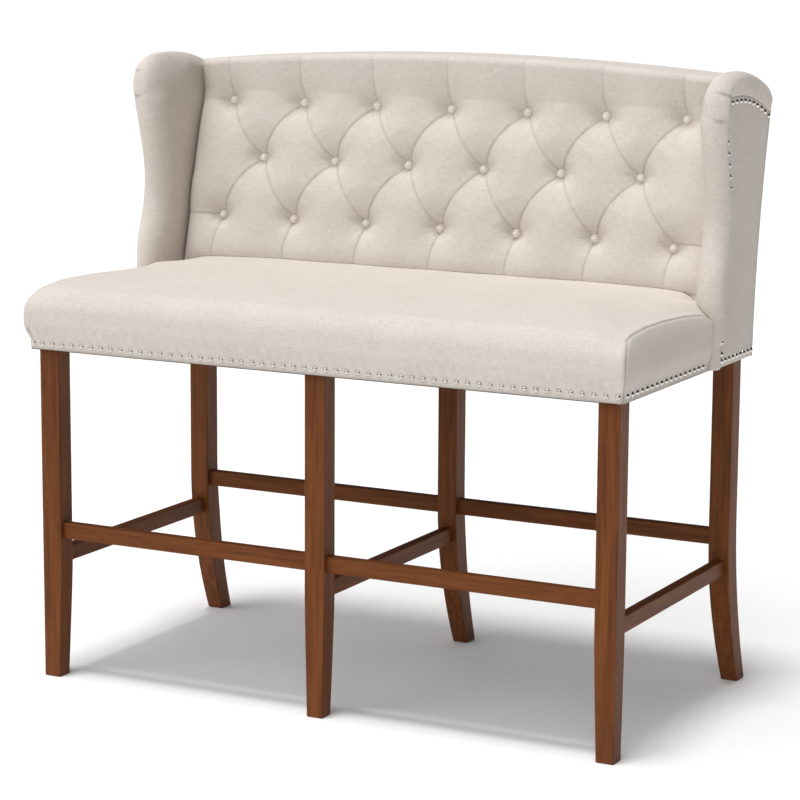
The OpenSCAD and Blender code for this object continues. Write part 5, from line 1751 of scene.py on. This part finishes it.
class BENCH_OT_wings(bpy.types.Operator):
    """Build the wings and their outside panels"""

    bl_idname = "bench.wings"
    bl_label = "Wings"

    def execute(self, context):
        scene = context.scene
        for side in (-1, 1):
            build_wing(side, scene.bench_wings, scene.bench_seat)
            build_wing_panel(side, scene.bench_wings, scene.bench_trim)
        return {"FINISHED"}


class BENCH_OT_nails(bpy.types.Operator):
    """Build the rows of nails"""

    bl_idname = "bench.nails"
    bl_label = "Nails"

    def execute(self, context):
        scene = context.scene
        build_nails(scene.bench_seat, scene.bench_wings, scene.bench_trim)
        return {"FINISHED"}


class BENCH_OT_legs(bpy.types.Operator):
    """Build the six legs"""

    bl_idname = "bench.legs"
    bl_label = "Legs"

    def execute(self, context):
        build_legs(context.scene.bench_wood)
        return {"FINISHED"}


class BENCH_OT_rails(bpy.types.Operator):
    """Build the stretchers"""

    bl_idname = "bench.rails"
    bl_label = "Stretchers"

    def execute(self, context):
        build_rails(context.scene.bench_wood)
        return {"FINISHED"}


class BENCH_OT_dust_cloth(bpy.types.Operator):
    """Build the dust cloth under the seat"""

    bl_idname = "bench.dust_cloth"
    bl_label = "Dust cloth"

    def execute(self, context):
        build_dust_cloth()
        return {"FINISHED"}


class BENCH_OT_frame(bpy.types.Operator):
    """Give the frame's own parts their finishes"""

    bl_idname = "bench.frame"
    bl_label = "Inner frame"

    def execute(self, context):
        dress_frame()
        return {"FINISHED"}


class BENCH_OT_stage(bpy.types.Operator):
    """Build the floor, the lights and the camera"""

    bl_idname = "bench.stage"
    bl_label = "Stage"

    def execute(self, context):
        build_stage()
        build_camera()
        return {"FINISHED"}


OPERATORS = (
    BENCH_OT_frame,
    BENCH_OT_seat,
    BENCH_OT_back,
    BENCH_OT_buttons,
    BENCH_OT_wings,
    BENCH_OT_nails,
    BENCH_OT_legs,
    BENCH_OT_rails,
    BENCH_OT_dust_cloth,
    BENCH_OT_stage,
)


class BENCH_PT_panel(bpy.types.Panel):
    """Lists the bench's pieces"""

    bl_label = "Bar bench"
    bl_idname = "BENCH_PT_panel"
    bl_space_type = "VIEW_3D"
    bl_region_type = "UI"
    bl_category = "Bench"

    def draw(self, context):
        for group in GROUPS:
            box = self.layout.box()
            settings = getattr(context.scene, group)
            for key in type(settings).__annotations__:
                box.prop(settings, key)
        for operator in OPERATORS:
            self.layout.operator(operator.bl_idname)


def register():
    """Registers the settings, the operators and the panel."""
    for name, group in GROUPS.items():
        bpy.utils.register_class(group)
        setattr(bpy.types.Scene, name, PointerProperty(type=group))
    for operator in OPERATORS:
        bpy.utils.register_class(operator)
    bpy.utils.register_class(BENCH_PT_panel)


def unregister():
    """Takes back what register did."""
    bpy.utils.unregister_class(BENCH_PT_panel)
    for operator in reversed(OPERATORS):
        bpy.utils.unregister_class(operator)
    for name, group in reversed(GROUPS.items()):
        delattr(bpy.types.Scene, name)
        bpy.utils.unregister_class(group)


def main():
    """Builds the bench, its stage and its camera."""
    register()
    bpy.ops.bench.frame()
    bpy.ops.bench.seat()
    bpy.ops.bench.back()
    bpy.ops.bench.buttons()
    bpy.ops.bench.wings()
    bpy.ops.bench.nails()
    bpy.ops.bench.legs()
    bpy.ops.bench.rails()
    bpy.ops.bench.dust_cloth()
    bpy.ops.bench.stage()


if __name__ == "__main__":
    main()
